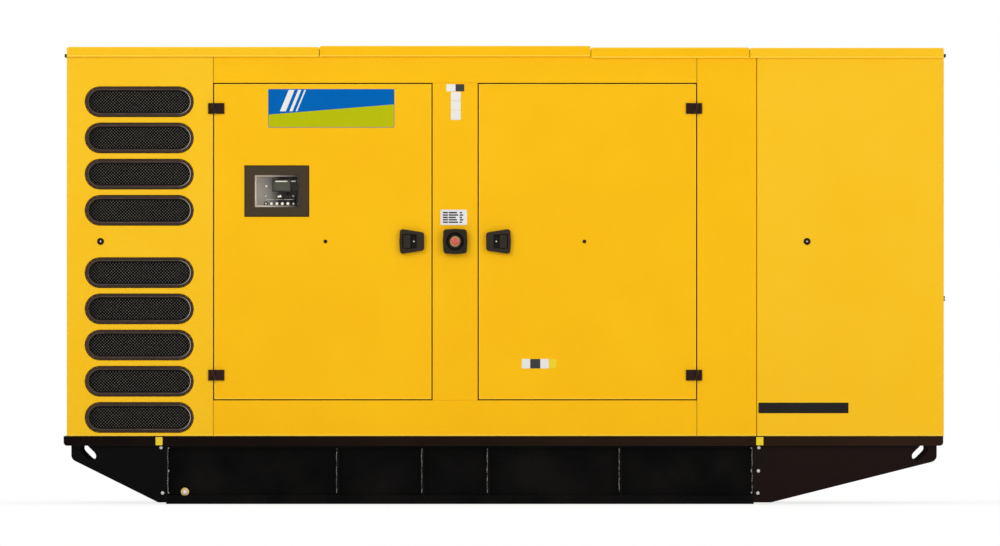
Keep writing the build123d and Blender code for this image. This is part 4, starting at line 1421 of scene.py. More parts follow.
@dataclass
class DoorPlugs:
    """The dark blind plug in the middle of each door, front and back, and the keyways of the panel locks."""

    places: tuple = ((-0.918, "left_door"), (0.4036, "right_door"))
    level: float = 1.340
    radius: float = 0.0095
    locks: tuple = (-2.0656, 1.540)

    def build(self) -> None:
        """Model a plug and a lock barrel, and fit them."""
        plug = start_drum("plug", (0.0, -0.7505, self.level), self.radius, 0.004, Axis.Y, 24)
        with Bench(plug) as bench:
            bench.front()
            bench.inset(0.0016, 0.0006).inset(0.001).push((0.0, 0.0014, 0.0)).inset(0.003, 0.0008)
        smooth(plug)
        for x, body in self.places:
            finished(copied(plug, f"door_plug_{body}", shift(x, 0.0, 0.0)), FIXING, body)
        backs = [to_side(Side.BACK) @ shift(x, 0.0, 0.0) for x, body in self.places]
        finished(repeat(plug, "door_plugs_back", backs), FIXING)
        barrel = start_drum("barrel", (0.0, -0.7525, self.level), 0.0040, 0.003, Axis.Y, 20)
        with Bench(barrel) as bench:
            bench.front().inset(0.0008, 0.0005).inset(0.002)
            bench.grow((0.4, 1.0, 1.4), (0.0, -0.7548, self.level)).push((0.0, 0.0015, 0.0))
        places = [to_side(side) @ shift(x, 0.0, 0.0) for side in Side for x in self.locks]
        finished(repeat(smooth(barrel), "panel_lock_barrels", places), STEEL)


@dataclass
class HandleDetails:
    """The key barrel, the far pad and the rims on each door handle."""

    level: float = 1.340
    mirror_x: float = -0.256
    key_x: float = -0.466

    def hand(self, right: bool) -> Matrix:
        """Give the move from the left handle to either.

        Args:
            right: whether it is the right one.

        Returns:
            The identity or a mirror in X.
        """
        if not right:
            return Matrix.Identity(4)
        return Matrix.Translation((2 * self.mirror_x, 0, 0)) @ Matrix.Diagonal((-1.0, 1.0, 1.0, 1.0))

    def barrel(self) -> Piece:
        """Model the key barrel with its slot.

        Returns:
            The barrel of the left handle.
        """
        barrel = start_drum("barrel", (self.key_x, -0.7635, self.level), 0.0038, 0.005, Axis.Y, 20)
        with Bench(barrel) as bench:
            bench.front().inset(0.0009, 0.0006).inset(0.0018)
            bench.grow((0.35, 1.0, 1.5), (self.key_x, 0.0, self.level)).push((0.0, 0.002, 0.0))
        return smooth(barrel)

    def pad(self) -> Piece:
        """Model the raised outline on the handle's near pad.

        Returns:
            The outline of the left handle.
        """
        pad = start_frame("pad", (-0.4455, -0.7772, self.level - 0.030),
                          (-0.4225, -0.7756, self.level + 0.030), 0.0016)
        return soften(pad, 0.0004)

    def liner(self) -> Piece:
        """Model the black liner of the grip's floor, a dark sheet that paints the shade in the recess.

        Returns:
            The liner of the left handle.
        """
        liner = start_box("liner", (-0.4798, -0.7562, self.level - 0.0358),
                          (-0.4522, -0.7548, self.level + 0.0358))
        with Bench(liner) as bench:
            bench.front().inset(0.002, 0.0006)
        return liner

    def build(self) -> None:
        """Fit the details to both doors."""
        for right, body in ((False, "left_door"), (True, "right_door")):
            place = self.hand(right)
            for make, name, finish, slot in ((self.barrel, "key_barrel", STEEL, "fixing"),
                                             (self.pad, "handle_pad", MOULDED, "moulded"),
                                             (self.liner, "grip_shade_liner", LINER_SHADE, "seal")):
                start = make()
                finished(copied(start, f"{name}_{body}", place), finish, body)
                bpy.data.objects.remove(start)


@dataclass
class StopDetails:
    """The ribbed boot of the emergency stop, and its corner screws."""

    x: float = -0.256
    z: float = 1.340
    front: float = -0.786
    screw_reach: tuple[float, float] = (0.046, 0.048)

    def build(self) -> None:
        """Model the rings in the recess and the screws."""
        ribs = []
        for number, (radius, y) in enumerate(((0.0305, -0.7565), (0.0325, -0.7600), (0.0345, -0.7635))):
            clear_selection()
            bpy.ops.mesh.primitive_torus_add(location=(self.x, y, self.z), rotation=Axis.Y.value,
                                             major_radius=radius, minor_radius=0.0024, major_segments=40,
                                             minor_segments=8)
            rib = settle(bpy.context.object)
            rib.name = f"rib_{number}"
            ribs.append(smooth(rib, 60))
        finished(join("stop_boot_ribs", ribs), RUBBER)
        screw = start_drum("screw", (0.0, self.front + 0.0008, 0.0), 0.0045, 0.0030, Axis.Y, 16)
        with Bench(screw) as bench:
            bench.front().inset(0.0012).inset(0.0014)
            bench.push((0.0, 0.0012, 0.0))
        wide, high = self.screw_reach
        corners = [shift(self.x + dx, 0.0009, self.z + dz) for dx in (-wide, wide) for dz in (-high, high)]
        finished(repeat(smooth(screw), "stop_screws", corners), FIXING)


@dataclass
class SkidFasteners:
    """The flange bolts and the beads of weld on the skid, whose pale spots paint their glints."""

    joints: tuple = ((-1.739, -1.723), (1.260, 1.276))
    levels: tuple = (0.288, 0.169, 0.056)
    bolt_y: float = -0.706
    face_bolts: tuple = ((-1.757, 0.288), (-1.749, 0.056), (1.294, 0.288), (1.292, 0.169), (1.289, 0.056))
    bolt: float = 0.015
    joint_gap: float = 0.004
    face_bolt_y: float = -0.7375
    face_bolt_share: float = 0.9
    plug_head: float = 0.024
    bead_pitch: float = 0.0085
    bead_columns: tuple = ((-1.7225, 0.060, 0.285), (-0.8610, 0.060, 0.280), (1.2595, 0.060, 0.285),
                           (-0.4265, 0.060, 0.280), (-0.0920, 0.060, 0.280), (0.5810, 0.060, 0.280))

    def build(self) -> None:
        """Model the bolts and the beads, and fit them to both sides."""
        bolts = []
        for x0, x1 in self.joints:
            for level in self.levels:
                for x, way in ((x0, -1), (x1, 1)):
                    place = (x + way * self.joint_gap, self.bolt_y, level)
                    bolts.append(hex_bolt("bolt", place, self.bolt, Axis.X))
        for x, z in self.face_bolts:
            place = (x, self.face_bolt_y, z)
            bolts.append(hex_bolt("face_bolt", place, self.bolt * self.face_bolt_share, Axis.Y))
        self.fit(join("bolts", bolts), "skid_bolts", STEEL)
        low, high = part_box("drain_plug")
        middle = ((low[0] + high[0]) / 2, low[1] + 0.0005, (low[2] + high[2]) / 2)
        head = hex_bolt("drain_plug_head", middle, self.plug_head, Axis.Y, False)
        finished(head, PLATE)
        bead = start_drum("bead", (0.0, -0.7352, 0.0), 0.0026, 0.0034, Axis.Y, 8)
        with Bench(bead) as bench:
            bench.front().inset(0.001, 0.0006)
        places = []
        for x, low, high in self.bead_columns:
            count = round((high - low) / self.bead_pitch)
            places += [shift(x + 0.0008 * math.sin(7.1 * n), 0.0006 * math.cos(5.3 * n),
                             low + (high - low) * n / count) for n in range(count + 1)]
        self.fit(repeat(bead, "beads", places), "skid_edge_beads", WELD_GLINT)

    def fit(self, piece: Piece, name: str, finish: Finish) -> None:
        """Dress a front piece and its mirror at the back.

        Args:
            piece: the front piece.
            name: what both are called, with the side after it.
            finish: their finish.
        """
        for side in Side:
            finished(copied(piece, f"{name}_{side.name.lower()}", to_side(side)), finish)
        bpy.data.objects.remove(piece)


def start_ring(name: str, middle: Point, radius: float, wire: float, axis: Axis = Axis.X, around: int = 40,
               section: int = 8) -> Piece:
    """Add a ring of round wire.

    Args:
        name: the piece's name.
        middle: its middle.
        radius: the radius of the wire's centre line.
        wire: the wire's own radius.
        axis: what the ring goes round.
        around: its segments.
        section: the wire's sides.

    Returns:
        The piece, shaded smooth.
    """
    clear_selection()
    bpy.ops.mesh.primitive_torus_add(location=middle, rotation=axis.value, major_radius=radius,
                                     minor_radius=wire, major_segments=around, minor_segments=section)
    bpy.context.object.name = name
    return smooth(settle(bpy.context.object), 80.0)


def start_pipe(name: str, points: tuple[Point, ...], radius: float, steps: int = 3) -> Piece:
    """Lay a smooth line near points and give it a round wall.

    Args:
        name: the piece's name.
        points: the line's control points.
        radius: the pipe's radius.
        steps: the roundness of its section.

    Returns:
        The piece, as a mesh.
    """
    clear_selection()
    bpy.ops.curve.primitive_nurbs_path_add()
    pipe = bpy.context.object
    pipe.location = (0.0, 0.0, 0.0)
    pipe.name = name
    pipe.data.splines.clear()
    line = pipe.data.splines.new("NURBS")
    line.points.add(len(points) - 1)
    for spot, place in zip(line.points, points):
        spot.co = (*place, 1.0)
    line.order_u = 3
    line.use_endpoint_u = True
    pipe.data.resolution_u = 8
    pipe.data.bevel_depth = radius
    pipe.data.bevel_resolution = steps
    pipe.data.use_fill_caps = True
    bpy.ops.object.convert(target="MESH")
    return smooth(bpy.context.object)


@dataclass
class Hems:
    """The thin folded edges of doors, roof lips and canopy foot, lighter than the panels as painted
    highlight, the seam sealant, and the inlet gaskets and beads that paint the shadow line and the highlight
    round each bezel.
    """

    doors: tuple = ((-1.485, -0.377, "left_door"), (-0.135, 0.973, "right_door"))
    door_low: float = 0.535
    door_high: float = 2.143
    face: float = -0.750
    width: float = 0.0035
    roof: tuple = ((-2.2375, -0.9517, 2.283), (-0.9457, 0.4338, 2.284), (0.4398, 1.2442, 2.277),
                   (1.2502, 2.2375, 2.277))
    feet: tuple = ((-2.2375, -1.491), (-1.488, 0.976), (0.979, 1.2805), (1.2855, 2.2375))
    foot: float = 0.3455
    seams: tuple = ((-1.4915, -1.4875), (0.9755, 0.9795))
    seam_levels: tuple = ((0.346, 0.529), (2.149, 2.289))
    inlet_x: float = -1.868

    def build(self) -> None:
        """Model the hems of the front, and mirror what the back has too."""
        fixed = []
        for x0, x1, body in self.doors:
            hem = start_frame("hem", (x0, self.face - 0.0007, self.door_low),
                              (x1, self.face + 0.002, self.door_high), self.width)
            soften(hem, 0.0006)
            finished(copied(hem, f"hem_{body}", Matrix.Identity(4)), YELLOW_EDGE_HIGHLIGHT, body)
            finished(copied(hem, f"hem_back_{body}", to_side(Side.BACK)), YELLOW_EDGE_HIGHLIGHT)
            bpy.data.objects.remove(hem)
        for x0, x1, low in self.roof:
            fixed.append(soften(start_box("hem", (x0, -0.7634, low), (x1, -0.7600, low + 0.0065)), 0.0012, 2))
        for x0, x1 in self.feet:
            fixed.append(soften(start_box("hem", (x0, self.face - 0.0012, self.foot + 0.002),
                                          (x1, self.face + 0.001, self.foot + 0.009)), 0.001, 2))
        self.both_sides(join("hems", fixed), "hems", YELLOW_EDGE_HIGHLIGHT)
        fillers = [start_box("filler", (x0, self.face + 0.0008, low), (x1, self.face + 0.005, high))
                   for x0, x1 in self.seams for low, high in self.seam_levels]
        for filler in fillers:
            with Bench(filler) as bench:
                bench.front().inset(0.0008).push((0.0, 0.0008, 0.0))
        self.both_sides(join("seam_sealant", fillers), "seam_sealant", SEALANT)
        self.build_gaskets()

    def build_gaskets(self) -> None:
        """Model the thin dark gasket round every inlet's bezel, which paints the shadow line between bezel
        and panel, and the bead on the bezel's inner edge, graded to paint its highlight at the right end.
        """
        ring = start_obround("ring", (self.inlet_x, self.face - 0.0002, 0.0), 0.556, 0.1565, 0.0022, 12)
        with Bench(ring) as bench:
            bench.faces(lambda middle, normal: abs(normal.y) > ALONG).inset(0.0034).drop()
            bpy.ops.mesh.select_mode(type="EDGE")
            bpy.ops.mesh.select_non_manifold()
            bpy.ops.mesh.bridge_edge_loops()
            bpy.ops.mesh.select_all(action="SELECT")
            bpy.ops.mesh.normals_make_consistent(inside=False)
        places = [shift(0.0, 0.0, level) for level in InletMeshes().levels()]
        self.both_sides(repeat(ring, "gaskets", places), "inlet_shadow_gaskets", GASKET_AND_SHADOW_LINE)
        bead = start_obround("bead", (self.inlet_x, self.face - 0.0042, 0.0), 0.5255, 0.126, 0.0016, 12)
        with Bench(bead) as bench:
            bench.faces(lambda middle, normal: abs(normal.y) > ALONG).inset(0.0026).drop()
            bpy.ops.mesh.select_mode(type="EDGE")
            bpy.ops.mesh.select_non_manifold()
            bpy.ops.mesh.bridge_edge_loops()
            bpy.ops.mesh.select_all(action="SELECT")
            bpy.ops.mesh.normals_make_consistent(inside=False)
        # The bead paints the highlight at the right end of each bezel's inner edge.
        self.both_sides(repeat(bead, "beads", places), "inlet_highlight_beads", BEZEL_EDGE_HIGHLIGHT)

    def both_sides(self, piece: Piece, name: str, finish: Finish) -> None:
        """Dress a front piece and its mirror at the back.

        Args:
            piece: the front piece.
            name: what both are called, with the side after it.
            finish: their finish.
        """
        for side in Side:
            finished(copied(piece, f"{name}_{side.name.lower()}", to_side(side)), finish)
        bpy.data.objects.remove(piece)


@dataclass
class Lining:
    """The quilted sound lining in the doors' pans and under the roof."""

    cell: float = 0.092
    pan_low: float = 0.588
    pan_high: float = 2.090
    face: float = -0.7175
    window: tuple[float, float, float, float] = (-1.36, -0.97, 1.44, 1.76)

    def quilt(self, name: str, x: tuple[float, float], z: tuple[float, float],
              gap: tuple | None = None) -> Piece:
        """Model a quilted sheet that faces the back.

        Args:
            name: the piece's name.
            x: from where to where along the set.
            z: from where to where up.
            gap: what the sheet leaves free, as x and z from and to.

        Returns:
            The sheet.
        """
        width, height = x[1] - x[0], z[1] - z[0]
        clear_selection()
        bpy.ops.mesh.primitive_grid_add(
            x_subdivisions=round(width / self.cell), y_subdivisions=round(height / self.cell), size=1.0,
            location=(sum(x) / 2, self.face, sum(z) / 2), rotation=(-math.pi / 2, 0.0, 0.0),
            scale=(width, height, 1.0))
        sheet = bpy.context.object
        sheet.name = name
        sheet.scale = (width, height, 1.0)
        settle(sheet)
        with Bench(sheet) as bench:
            if gap:
                bench.faces(lambda middle, normal: gap[0] < middle.x < gap[1]
                            and gap[2] < middle.z < gap[3]).drop()
            bench.everything().inset(0.004, each=True).inset(0.012, 0.0048, each=True)
        take(sheet)
        solid = sheet.modifiers.new("solid", "SOLIDIFY")
        solid.thickness = 0.0018
        solid.offset = -1.0
        bpy.ops.object.modifier_apply(modifier=solid.name)
        return smooth(sheet, 20.0)

    def build(self) -> None:
        """Line the four doors and the roof."""
        z = (self.pan_low, self.pan_high)
        for name, x, gap in (("left_door", (-1.434, -0.428), self.window),
                             ("right_door", (-0.084, 0.922), None)):
            finished(self.quilt(f"lining_{name}", x, z, gap), FOAM_GREY, name)
            back = self.quilt("back", x, z)
            finished(copied(back, f"lining_back_{name}", to_side(Side.BACK)), FOAM_GREY)
            bpy.data.objects.remove(back)
        roof = self.quilt("roof", (-1.45, 1.05), (-0.68, 0.68))
        flat = shift(0.0, 0.0, 2.282) @ Matrix.Rotation(-math.pi / 2, 4, "X") @ shift(0.0, -self.face, 0.0)
        finished(copied(roof, "lining_roof", flat), FOAM_GREY)
        bpy.data.objects.remove(roof)


@dataclass
class EngineDetails:
    """Bolts, pipes, hoses and clamps on the engine, and the guard before the fan."""

    cover_start: float = -0.210
    cover_pitch: float = 0.17333
    cover_length: float = 0.15333
    cover_top: float = 1.21
    guard_x: float = 0.998
    guard_middle: float = 1.08
    stay_radius: float = 0.525

    def build(self) -> None:
        """Model everything on the engine."""
        self.build_covers()
        self.build_pipes()
        self.build_hoses()
        self.build_guard()

    def build_covers(self) -> None:
        """Model the bolts on the rocker covers, the filler cap and the fuel rail."""
        bolt = hex_bolt("bolt", (0.0, 0.0, self.cover_top + 0.003), 0.016, Axis.Z)
        places = [shift(self.cover_start + n * self.cover_pitch + x, y, 0.0) for n in range(6)
                  for x in (0.025, self.cover_length - 0.025) for y in (-0.1, 0.1)]
        finished(repeat(bolt, "cover_bolts", places), STEEL)
        middle = self.cover_start + self.cover_pitch + self.cover_length / 2
        cap = start_drum("oil_cap", (middle, 0.0, self.cover_top + 0.014), 0.034, 0.03, Axis.Z, 32)
        with Bench(cap) as bench:
            bench.top().inset(0.006, 0.005).inset(0.01).push((0, 0, -0.003))
            bench.upright().inset(0.0014, 0.0018, each=True)
        finished(cap, OIL_CAP)
        rail = start_pipe("rail", ((-0.19, -0.213, 0.985), (0.0, -0.213, 0.985), (0.3, -0.213, 0.985),
                                   (0.6, -0.213, 0.985), (0.79, -0.213, 0.985)), 0.013)
        finished(rail, ENGINE)

    def build_pipes(self) -> None:
        """Model the six fuel pipes from the rail to the head, and the dipstick."""
        pipes = []
        for number in range(6):
            x = self.cover_start + number * self.cover_pitch + self.cover_length / 2
            pipes.append(start_pipe(f"pipe_{number}", ((x - 0.04, -0.213, 0.99), (x - 0.04, -0.235, 1.02),
                                                       (x - 0.01, -0.225, 1.07), (x, -0.19, 1.125),
                                                       (x, -0.155, 1.135)), 0.0045, 2))
        pipes.append(start_pipe("dipstick",
                                ((0.20, -0.205, 0.80), (0.20, -0.235, 0.86), (0.215, -0.245, 0.98),
                                 (0.22, -0.235, 1.04)), 0.005, 2))
        finished(join("fuel_pipes", pipes), STEEL)
        rings = [start_ring(f"ring_{n}", (x, -0.262, z), 0.0505, 0.0022, Axis.Z, 32, 6)
                 for n, (x, z) in enumerate((x, 0.605 + 0.2 * row) for x in (0.43, 0.57) for row in (0, 1))]
        finished(join("oil_filter_rings", rings), STEEL)

    def build_hoses(self) -> None:
        """Model the moulded coolant and intake hoses with their clamps."""
        hoses = (
            ("coolant_hose_top", (
            (0.76, 0.09, 1.12), (0.77, 0.09, 1.22), (0.80, 0.11, 1.50), (0.86, 0.16, 1.90),
                                  (0.96, 0.20, 2.04), (1.115, 0.20, 2.05)), 0.034),
            ("coolant_hose_low", (
            (0.84, 0.13, 0.70), (0.90, 0.14, 0.69), (0.96, 0.26, 0.60), (1.00, 0.36, 0.44),
                                  (1.115, 0.37, 0.40)), 0.034),
            ("intake_hose", ((0.385, 0.12, 1.47), (0.47, 0.12, 1.47), (0.55, 0.06, 1.46), (0.56, -0.10, 1.34),
                             (0.50, -0.24, 1.19), (0.37, -0.26, 1.15)), 0.052),
        )
        for name, points, radius in hoses:
            hose = start_pipe(name, points, radius, 6)
            finished(hose, RUBBER)
        clamps = [start_ring("clamp", (1.095, 0.20, 2.05), 0.036, 0.003, Axis.X, 32, 6),
                  start_ring("clamp", (1.098, 0.37, 0.40), 0.036, 0.003, Axis.X, 32, 6),
                  start_ring("clamp", (0.761, 0.09, 1.15), 0.036, 0.003, Axis.Z, 32, 6),
                  start_ring("clamp", (0.408, 0.12, 1.47), 0.0535, 0.003, Axis.X, 32, 6)]
        finished(join("hose_clamps", clamps), STEEL)

    def build_guard(self) -> None:
        """Model the wire guard before the fan."""
        wires = [start_ring(f"wire_{n}", (self.guard_x, 0.0, self.guard_middle), 0.09 + 0.036 * n, 0.0022,
                            Axis.X, 48, 5) for n in range(13)]
        for number in range(8):
            angle = math.pi * number / 4 + math.pi / 8
            spoke = start_drum(f"spoke_{number}", (self.guard_x - 0.003, 0.0, 0.305), 0.003, 0.44, Axis.Z, 8)
            with Bench(spoke) as bench:
                bench.faces(lambda middle, normal: abs(normal.z) > ALONG).inset(0.0008, 0.0004)
            spoke.data.transform(shift(0, 0, self.guard_middle) @ Matrix.Rotation(angle, 4, "X"))
            wires.append(spoke)
        for angle in (math.pi / 4, 3 * math.pi / 4, 5 * math.pi / 4, 7 * math.pi / 4):
            y, z = self.stay_radius * math.cos(angle), self.guard_middle + self.stay_radius * math.sin(angle)
            stay = start_box("stay", (self.guard_x - 0.004, y - 0.008, z - 0.008),
                             (1.034, y + 0.008, z + 0.008))
            wires.append(soften(stay, 0.002))
        finished(join("fan_guard", wires), DARK_STEEL)


@dataclass
class CoolerDetails:
    """The radiator's tubes, its filler cap and the mesh in the roof outlet."""

    tube_pitch: float = 0.015
    half_width: float = 0.54
    low: float = 0.4835
    high: float = 1.960

    def build(self) -> None:
        """Model the tubes on both faces, the cap and the mesh."""
        tube = start_box("tube", (1.122, -0.003, self.low), (1.1305, 0.003, self.high))
        with Bench(tube) as bench:
            bench.edges(lambda middle, way: abs(way.z) > ALONG and middle.x < 1.125).bevel(0.0022, 2)
        count = int(self.half_width / self.tube_pitch)
        places = [shift(x, number * self.tube_pitch, 0.0) for number in range(-count, count + 1)
                  for x in (0.0, 0.0875)]
        finished(repeat(tube, "radiator_tubes", places), FINS)
        cap = start_drum("radiator_cap", (1.17, -0.3, 2.128), 0.036, 0.016, Axis.Z, 24)
        with Bench(cap) as bench:
            bench.top().inset(0.008, 0.006)
            bench.upright().inset(0.0015, 0.002, each=True)
        finished(cap, STEEL)
        bars = []
        for name, low, high, step, number in (("a", (1.462, -0.479, 2.303), (1.4645, 0.479, 2.3055),
                                               (0.02, 0), 30), ("b", (1.461, -0.4785, 2.3005),
                                                                (2.079, -0.476, 2.303), (0, 0.02), 48)):
            bar = soften(start_box(name, low, high), 0.0006)
            bars.append(repeat(bar, name, [shift(step[0] * n, step[1] * n, 0.0) for n in range(number)]))
        finished(join("outlet_mesh", bars), STEEL_DARK)


@dataclass
class PlantDetails:
    """What the alternator, the cabinet, the exhaust, the air filter and the mounts carry."""

    shaft: float = 0.85
    conduit: tuple[Point, ...] = ((-0.80, -0.195, 1.22), (-0.80, -0.26, 1.22), (-0.86, -0.40, 1.21),
                                  (-1.00, -0.52, 1.18), (-1.02, -0.56, 1.20), (-1.02, -0.57, 1.26))
    bellows: tuple[float, float] = (0.33, -0.26)
    flange_levels: tuple[float, ...] = (1.235, 1.315, 1.605)

    def build(self) -> None:
        """Model all that they carry."""
        self.build_alternator()
        self.build_cabinet()
        self.build_exhaust()
        self.build_filter()

    def build_alternator(self) -> None:
        """Model the air slots round the barrel, the terminal box's lid and conduit, and the bearer bolts."""
        slot = start_box("slot", (-0.46, -0.011, 0.3095), (-0.37, 0.011, 0.3125))
        with Bench(slot) as bench:
            bench.edges(lambda middle, way: abs(way.z) > ALONG).bevel(0.008, 3)
            bench.top().inset(0.002).push((0.0, 0.0, -0.002))
        turns = [shift(x, 0.0, self.shaft) @ Matrix.Rotation(math.radians(angle), 4, "X")
                 for x in (0.0, -0.58) for angle in range(-150, 180, 12) if abs(angle) > 44]
        finished(repeat(slot, "alternator_slots", turns), SEAL)
        lid = start_box("terminal_lid", (-0.962, -0.192, 1.329), (-0.458, 0.192, 1.336))
        with Bench(lid) as bench:
            bench.top().inset(0.012).inset(0.006, 0.003)
        finished(soften(lid, 0.002), ALTERNATOR)
        screw = hex_bolt("screw", (0.0, 0.0, 1.338), 0.013, Axis.Z)
        finished(repeat(screw, "terminal_screws", [shift(x, y, 0.0) for x in (-0.955, -0.71, -0.465)
                                                   for y in (-0.185, 0.185)]), STEEL)
        finished(start_pipe("conduit", self.conduit, 0.021, 5), RUBBER)
        ribs = [start_ring("gland", (-0.80, -0.207, 1.22), 0.026, 0.006, Axis.Y, 24, 6),
                start_ring("gland", (-1.02, -0.57, 1.247), 0.026, 0.006, Axis.Z, 24, 6)]
        finished(join("conduit_glands", ribs), STEEL)
        bolt = hex_bolt("bolt", (0.0, 0.0, 0.4865), 0.024, Axis.Z)
        finished(repeat(bolt, "bearer_bolts", [shift(x, y, 0.0) for x in (-1.03, -0.465, 0.135, 0.70)
                                               for y in (-0.33, 0.33)]), STEEL)

    def build_cabinet(self) -> None:
        """Model the cabinet's door, its hinges, its lock and its louvres."""
        door = start_frame("cabinet_door", (-1.388, -0.6985, 1.262), (-0.942, -0.6955, 1.888), 0.05)
        finished(soften(door, 0.001, 2), CABINET)
        louvre = start_box("louvre", (-1.30, -0.7000, 1.30), (-1.03, -0.6955, 1.308))
        with Bench(louvre) as bench:
            bench.edges(lambda middle, way: abs(way.x) > ALONG and middle.y < -0.699 and middle.z > 1.305)
            bench.bevel(0.003, 3)
        louvres = [shift(0.0, 0.0, 0.02 * n) for n in range(6)]
        finished(repeat(louvre, "cabinet_louvres", louvres), CABINET)
        hinge = start_drum("hinge", (-1.392, -0.7005, 1.34), 0.006, 0.05, Axis.Z, 16)
        with Bench(hinge) as bench:
            bench.faces(lambda middle, normal: abs(normal.z) > ALONG).inset(0.0015, 0.002)
        hinges = [shift(0.0, 0.0, 0.235 * n) for n in range(3)]
        lock = start_drum("lock", (-0.965, -0.7005, 1.575), 0.012, 0.008, Axis.Y, 24)
        with Bench(lock) as bench:
            bench.front().inset(0.003, 0.001).inset(0.004)
            bench.push((0.0, 0.003, 0.0))
        finished(join("cabinet_fittings", (repeat(hinge, "hinges", hinges), smooth(lock))), STEEL)

    def build_exhaust(self) -> None:
        """Model the bellows, the flanges and the bands on the exhaust."""
        x, y = self.bellows
        rings = [start_ring(f"bellow_{n}", (x, y, 1.34 + 0.017 * n), 0.056, 0.0085, Axis.Z, 32, 8)
                 for n in range(14)]
        for level in self.flange_levels:
            flange = start_drum("flange", (x, y, level), 0.078, 0.012, Axis.Z, 32)
            rings.append(soften(flange, 0.002))
            rings += [hex_bolt("bolt", (x + 0.066 * math.cos(a), y + 0.066 * math.sin(a), level + 0.008),
                               0.014, Axis.Z) for a in (0.5, 2.07, 3.64, 5.21)]
        for side in (-1, 1):
            rings.append(start_ring("band", (1.74, side * 0.42, 1.64), 0.2015, 0.005, Axis.Y, 56, 6))
        finished(join("exhaust_fittings", rings), EXHAUST)

    def build_filter(self) -> None:
        """Model the ribs, the bands and the lid clips of the air filter."""
        ribs = [start_ring(f"rib_{n}", (-0.12 + 0.035 * n, 0.12, 1.47), 0.1395, 0.0032, Axis.X, 56, 6)
                for n in range(14)]
        finished(join("filter_ribs", ribs), MOULDED)
        bands = [start_ring("band", (x, 0.12, 1.47), 0.1415, 0.0036, Axis.X, 56, 6) for x in (-0.055, 0.265)]
        for angle in (0.6, 2.7, 4.8):
            y, z = 0.12 + 0.128 * math.cos(angle), 1.47 + 0.128 * math.sin(angle)
            clip = soften(start_box("clip", (0.335, y - 0.012, z - 0.012), (0.378, y + 0.012, z + 0.012)),
                          0.004, 2)
            bands.append(clip)
        finished(join("filter_bands", bands), STEEL)


# The studio


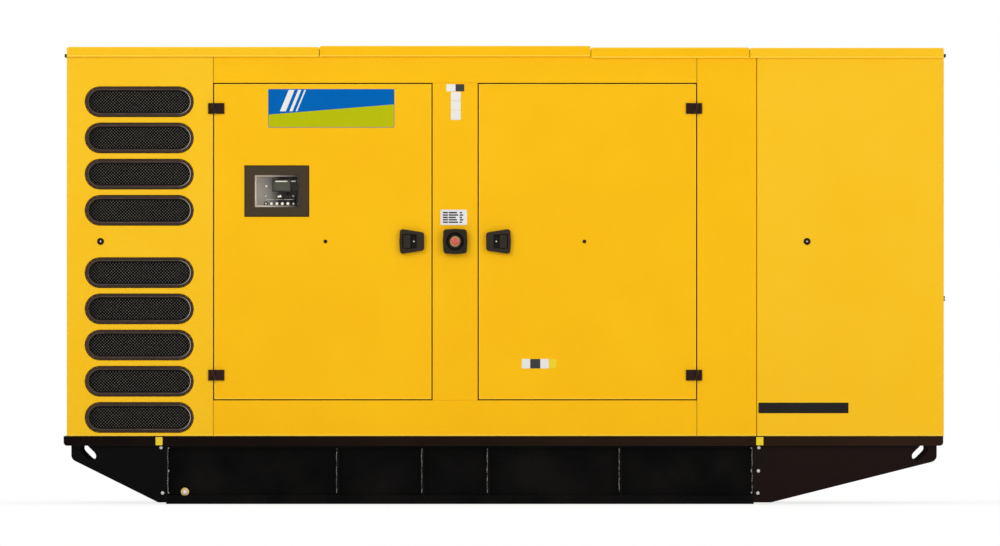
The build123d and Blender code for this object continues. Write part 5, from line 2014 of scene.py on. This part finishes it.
@dataclass
class Studio:
    """The floor, the lamps, the world and the camera."""

    lens: float = 900.0
    frame_width: float = 5.103
    view_x: float = -0.027
    view_z: float = 1.179
    front_plane: float = -0.75
    sensor: float = 36.0
    floor_reach: float = 30.0
    shadow_reach: tuple[float, float] = (1.6, 3.6)
    lamps: tuple = (
        ("key", (-5.0, -8.5, 6.0), 7.0, 380.0),
        ("fill", (6.5, -8.0, 3.5), 7.0, 240.0),
        ("top", (0.0, 0.5, 9.0), 7.0, 240.0),
        ("rear", (3.0, 9.0, 5.0), 7.0, 400.0),
    )

    def build(self) -> None:
        """Set up everything."""
        self.place_camera()
        self.lay_floor()
        self.hang_lamps()
        self.wire_world()
        bpy.context.scene.view_settings.view_transform = "Standard"
        LOG.info("studio ready")

    def place_camera(self) -> None:
        """Look at the front, level and far away, as the photograph does."""
        clear_selection()
        distance = self.frame_width * self.lens / self.sensor
        bpy.ops.object.camera_add(location=(self.view_x, self.front_plane - distance, self.view_z),
                                  rotation=(math.pi / 2, 0.0, 0.0))
        camera = bpy.context.object
        camera.name = "camera"
        camera.data.lens = self.lens
        camera.data.sensor_width = self.sensor
        camera.data.clip_end = distance + 2 * self.floor_reach
        bpy.context.scene.camera = camera

    def lay_floor(self) -> None:
        """Lay a pale floor that shows as white and keeps the shadow."""
        clear_selection()
        bpy.ops.mesh.primitive_plane_add(size=2 * self.floor_reach, location=(0.0, 0.0, 0.0))
        floor = bpy.context.object
        floor.name = "floor"
        material = bpy.data.materials.new("pale studio floor")
        material.use_nodes = True
        wiring = Wiring(material.node_tree)
        drift = wiring.group(EFFECTS.mottle, Scale=0.4, Low=0.0, High=1.0)
        matt = wiring.add("BsdfDiffuse",
                          {"Color": wiring.blend(drift, (0.84, 0.84, 0.84), (0.82, 0.82, 0.82))})
        white = wiring.add("Emission", {"Color": (1.0, 1.0, 1.0, 1.0), "Strength": 1.0})
        seen = self.seen(wiring)
        place = wiring.add("TexCoord").outputs["Object"]
        reach = wiring.add("VectorMath", {0: place}, operation="LENGTH").outputs["Value"]
        far = wiring.add("MapRange",
                         {0: reach, 1: self.shadow_reach[0], 2: self.shadow_reach[1], 3: 0.8, 4: 1.0})
        share = wiring.maths("MULTIPLY", seen, far.outputs[0])
        mix = wiring.add("MixShader", {0: share, 1: matt.outputs[0], 2: white.outputs[0]})
        end = wiring.add("OutputMaterial")
        wiring.tree.links.new(mix.outputs[0], end.inputs[0])
        floor.data.materials.append(material)

    def seen(self, wiring: Wiring) -> bpy.types.NodeSocket:
        """Say whether a ray shows the background.

        Args:
            wiring: the tree.

        Returns:
            1 for camera, glossy and transmission rays.
        """
        path = wiring.add("LightPath")
        either = wiring.maths("MAXIMUM", path.outputs["Is Camera Ray"], path.outputs["Is Glossy Ray"])
        return wiring.maths("MAXIMUM", either, path.outputs["Is Transmission Ray"])

    def hang_lamps(self) -> None:
        """Hang the soft lamps, aimed at the set's middle."""
        target = Vector((0.0, 0.0, 1.1))
        for name, place, size, power in self.lamps:
            clear_selection()
            turn = (target - Vector(place)).to_track_quat("-Z", "Y").to_euler()
            bpy.ops.object.light_add(type="AREA", location=place, rotation=turn)
            lamp = bpy.context.object
            lamp.name = name
            lamp.data.shape = "DISK"
            lamp.data.size = size
            lamp.data.energy = power

    def wire_world(self) -> None:
        """Give soft light all round, seen as white."""
        world = bpy.data.worlds.new("studio")
        world.use_nodes = True
        bpy.context.scene.world = world
        wiring = Wiring(world.node_tree)
        soft = wiring.add("Background", {"Color": (1.0, 1.0, 1.0, 1.0), "Strength": 0.44})
        white = wiring.add("Background", {"Color": (1.0, 1.0, 1.0, 1.0), "Strength": 1.0})
        mix = wiring.add("MixShader", {0: self.seen(wiring), 1: soft.outputs[0], 2: white.outputs[0]})
        end = wiring.add("OutputWorld")
        wiring.tree.links.new(mix.outputs[0], end.inputs[0])


def main() -> None:
    """Dress the set and put it in the studio."""
    logging.basicConfig(level=logging.INFO, format="%(message)s", stream=sys.stdout)
    Studio().build()
    dress_nodes()
    for assembly in (InletMeshes(), DoorSeals(), Controller(), Labels(), DoorPlugs(), HandleDetails(),
                     StopDetails(), SkidFasteners(), Hems(), Lining(), EngineDetails(), CoolerDetails(),
                     PlantDetails()):
        assembly.build()
        LOG.info("built %s", type(assembly).__name__)


if __name__ == "__main__":
    main()
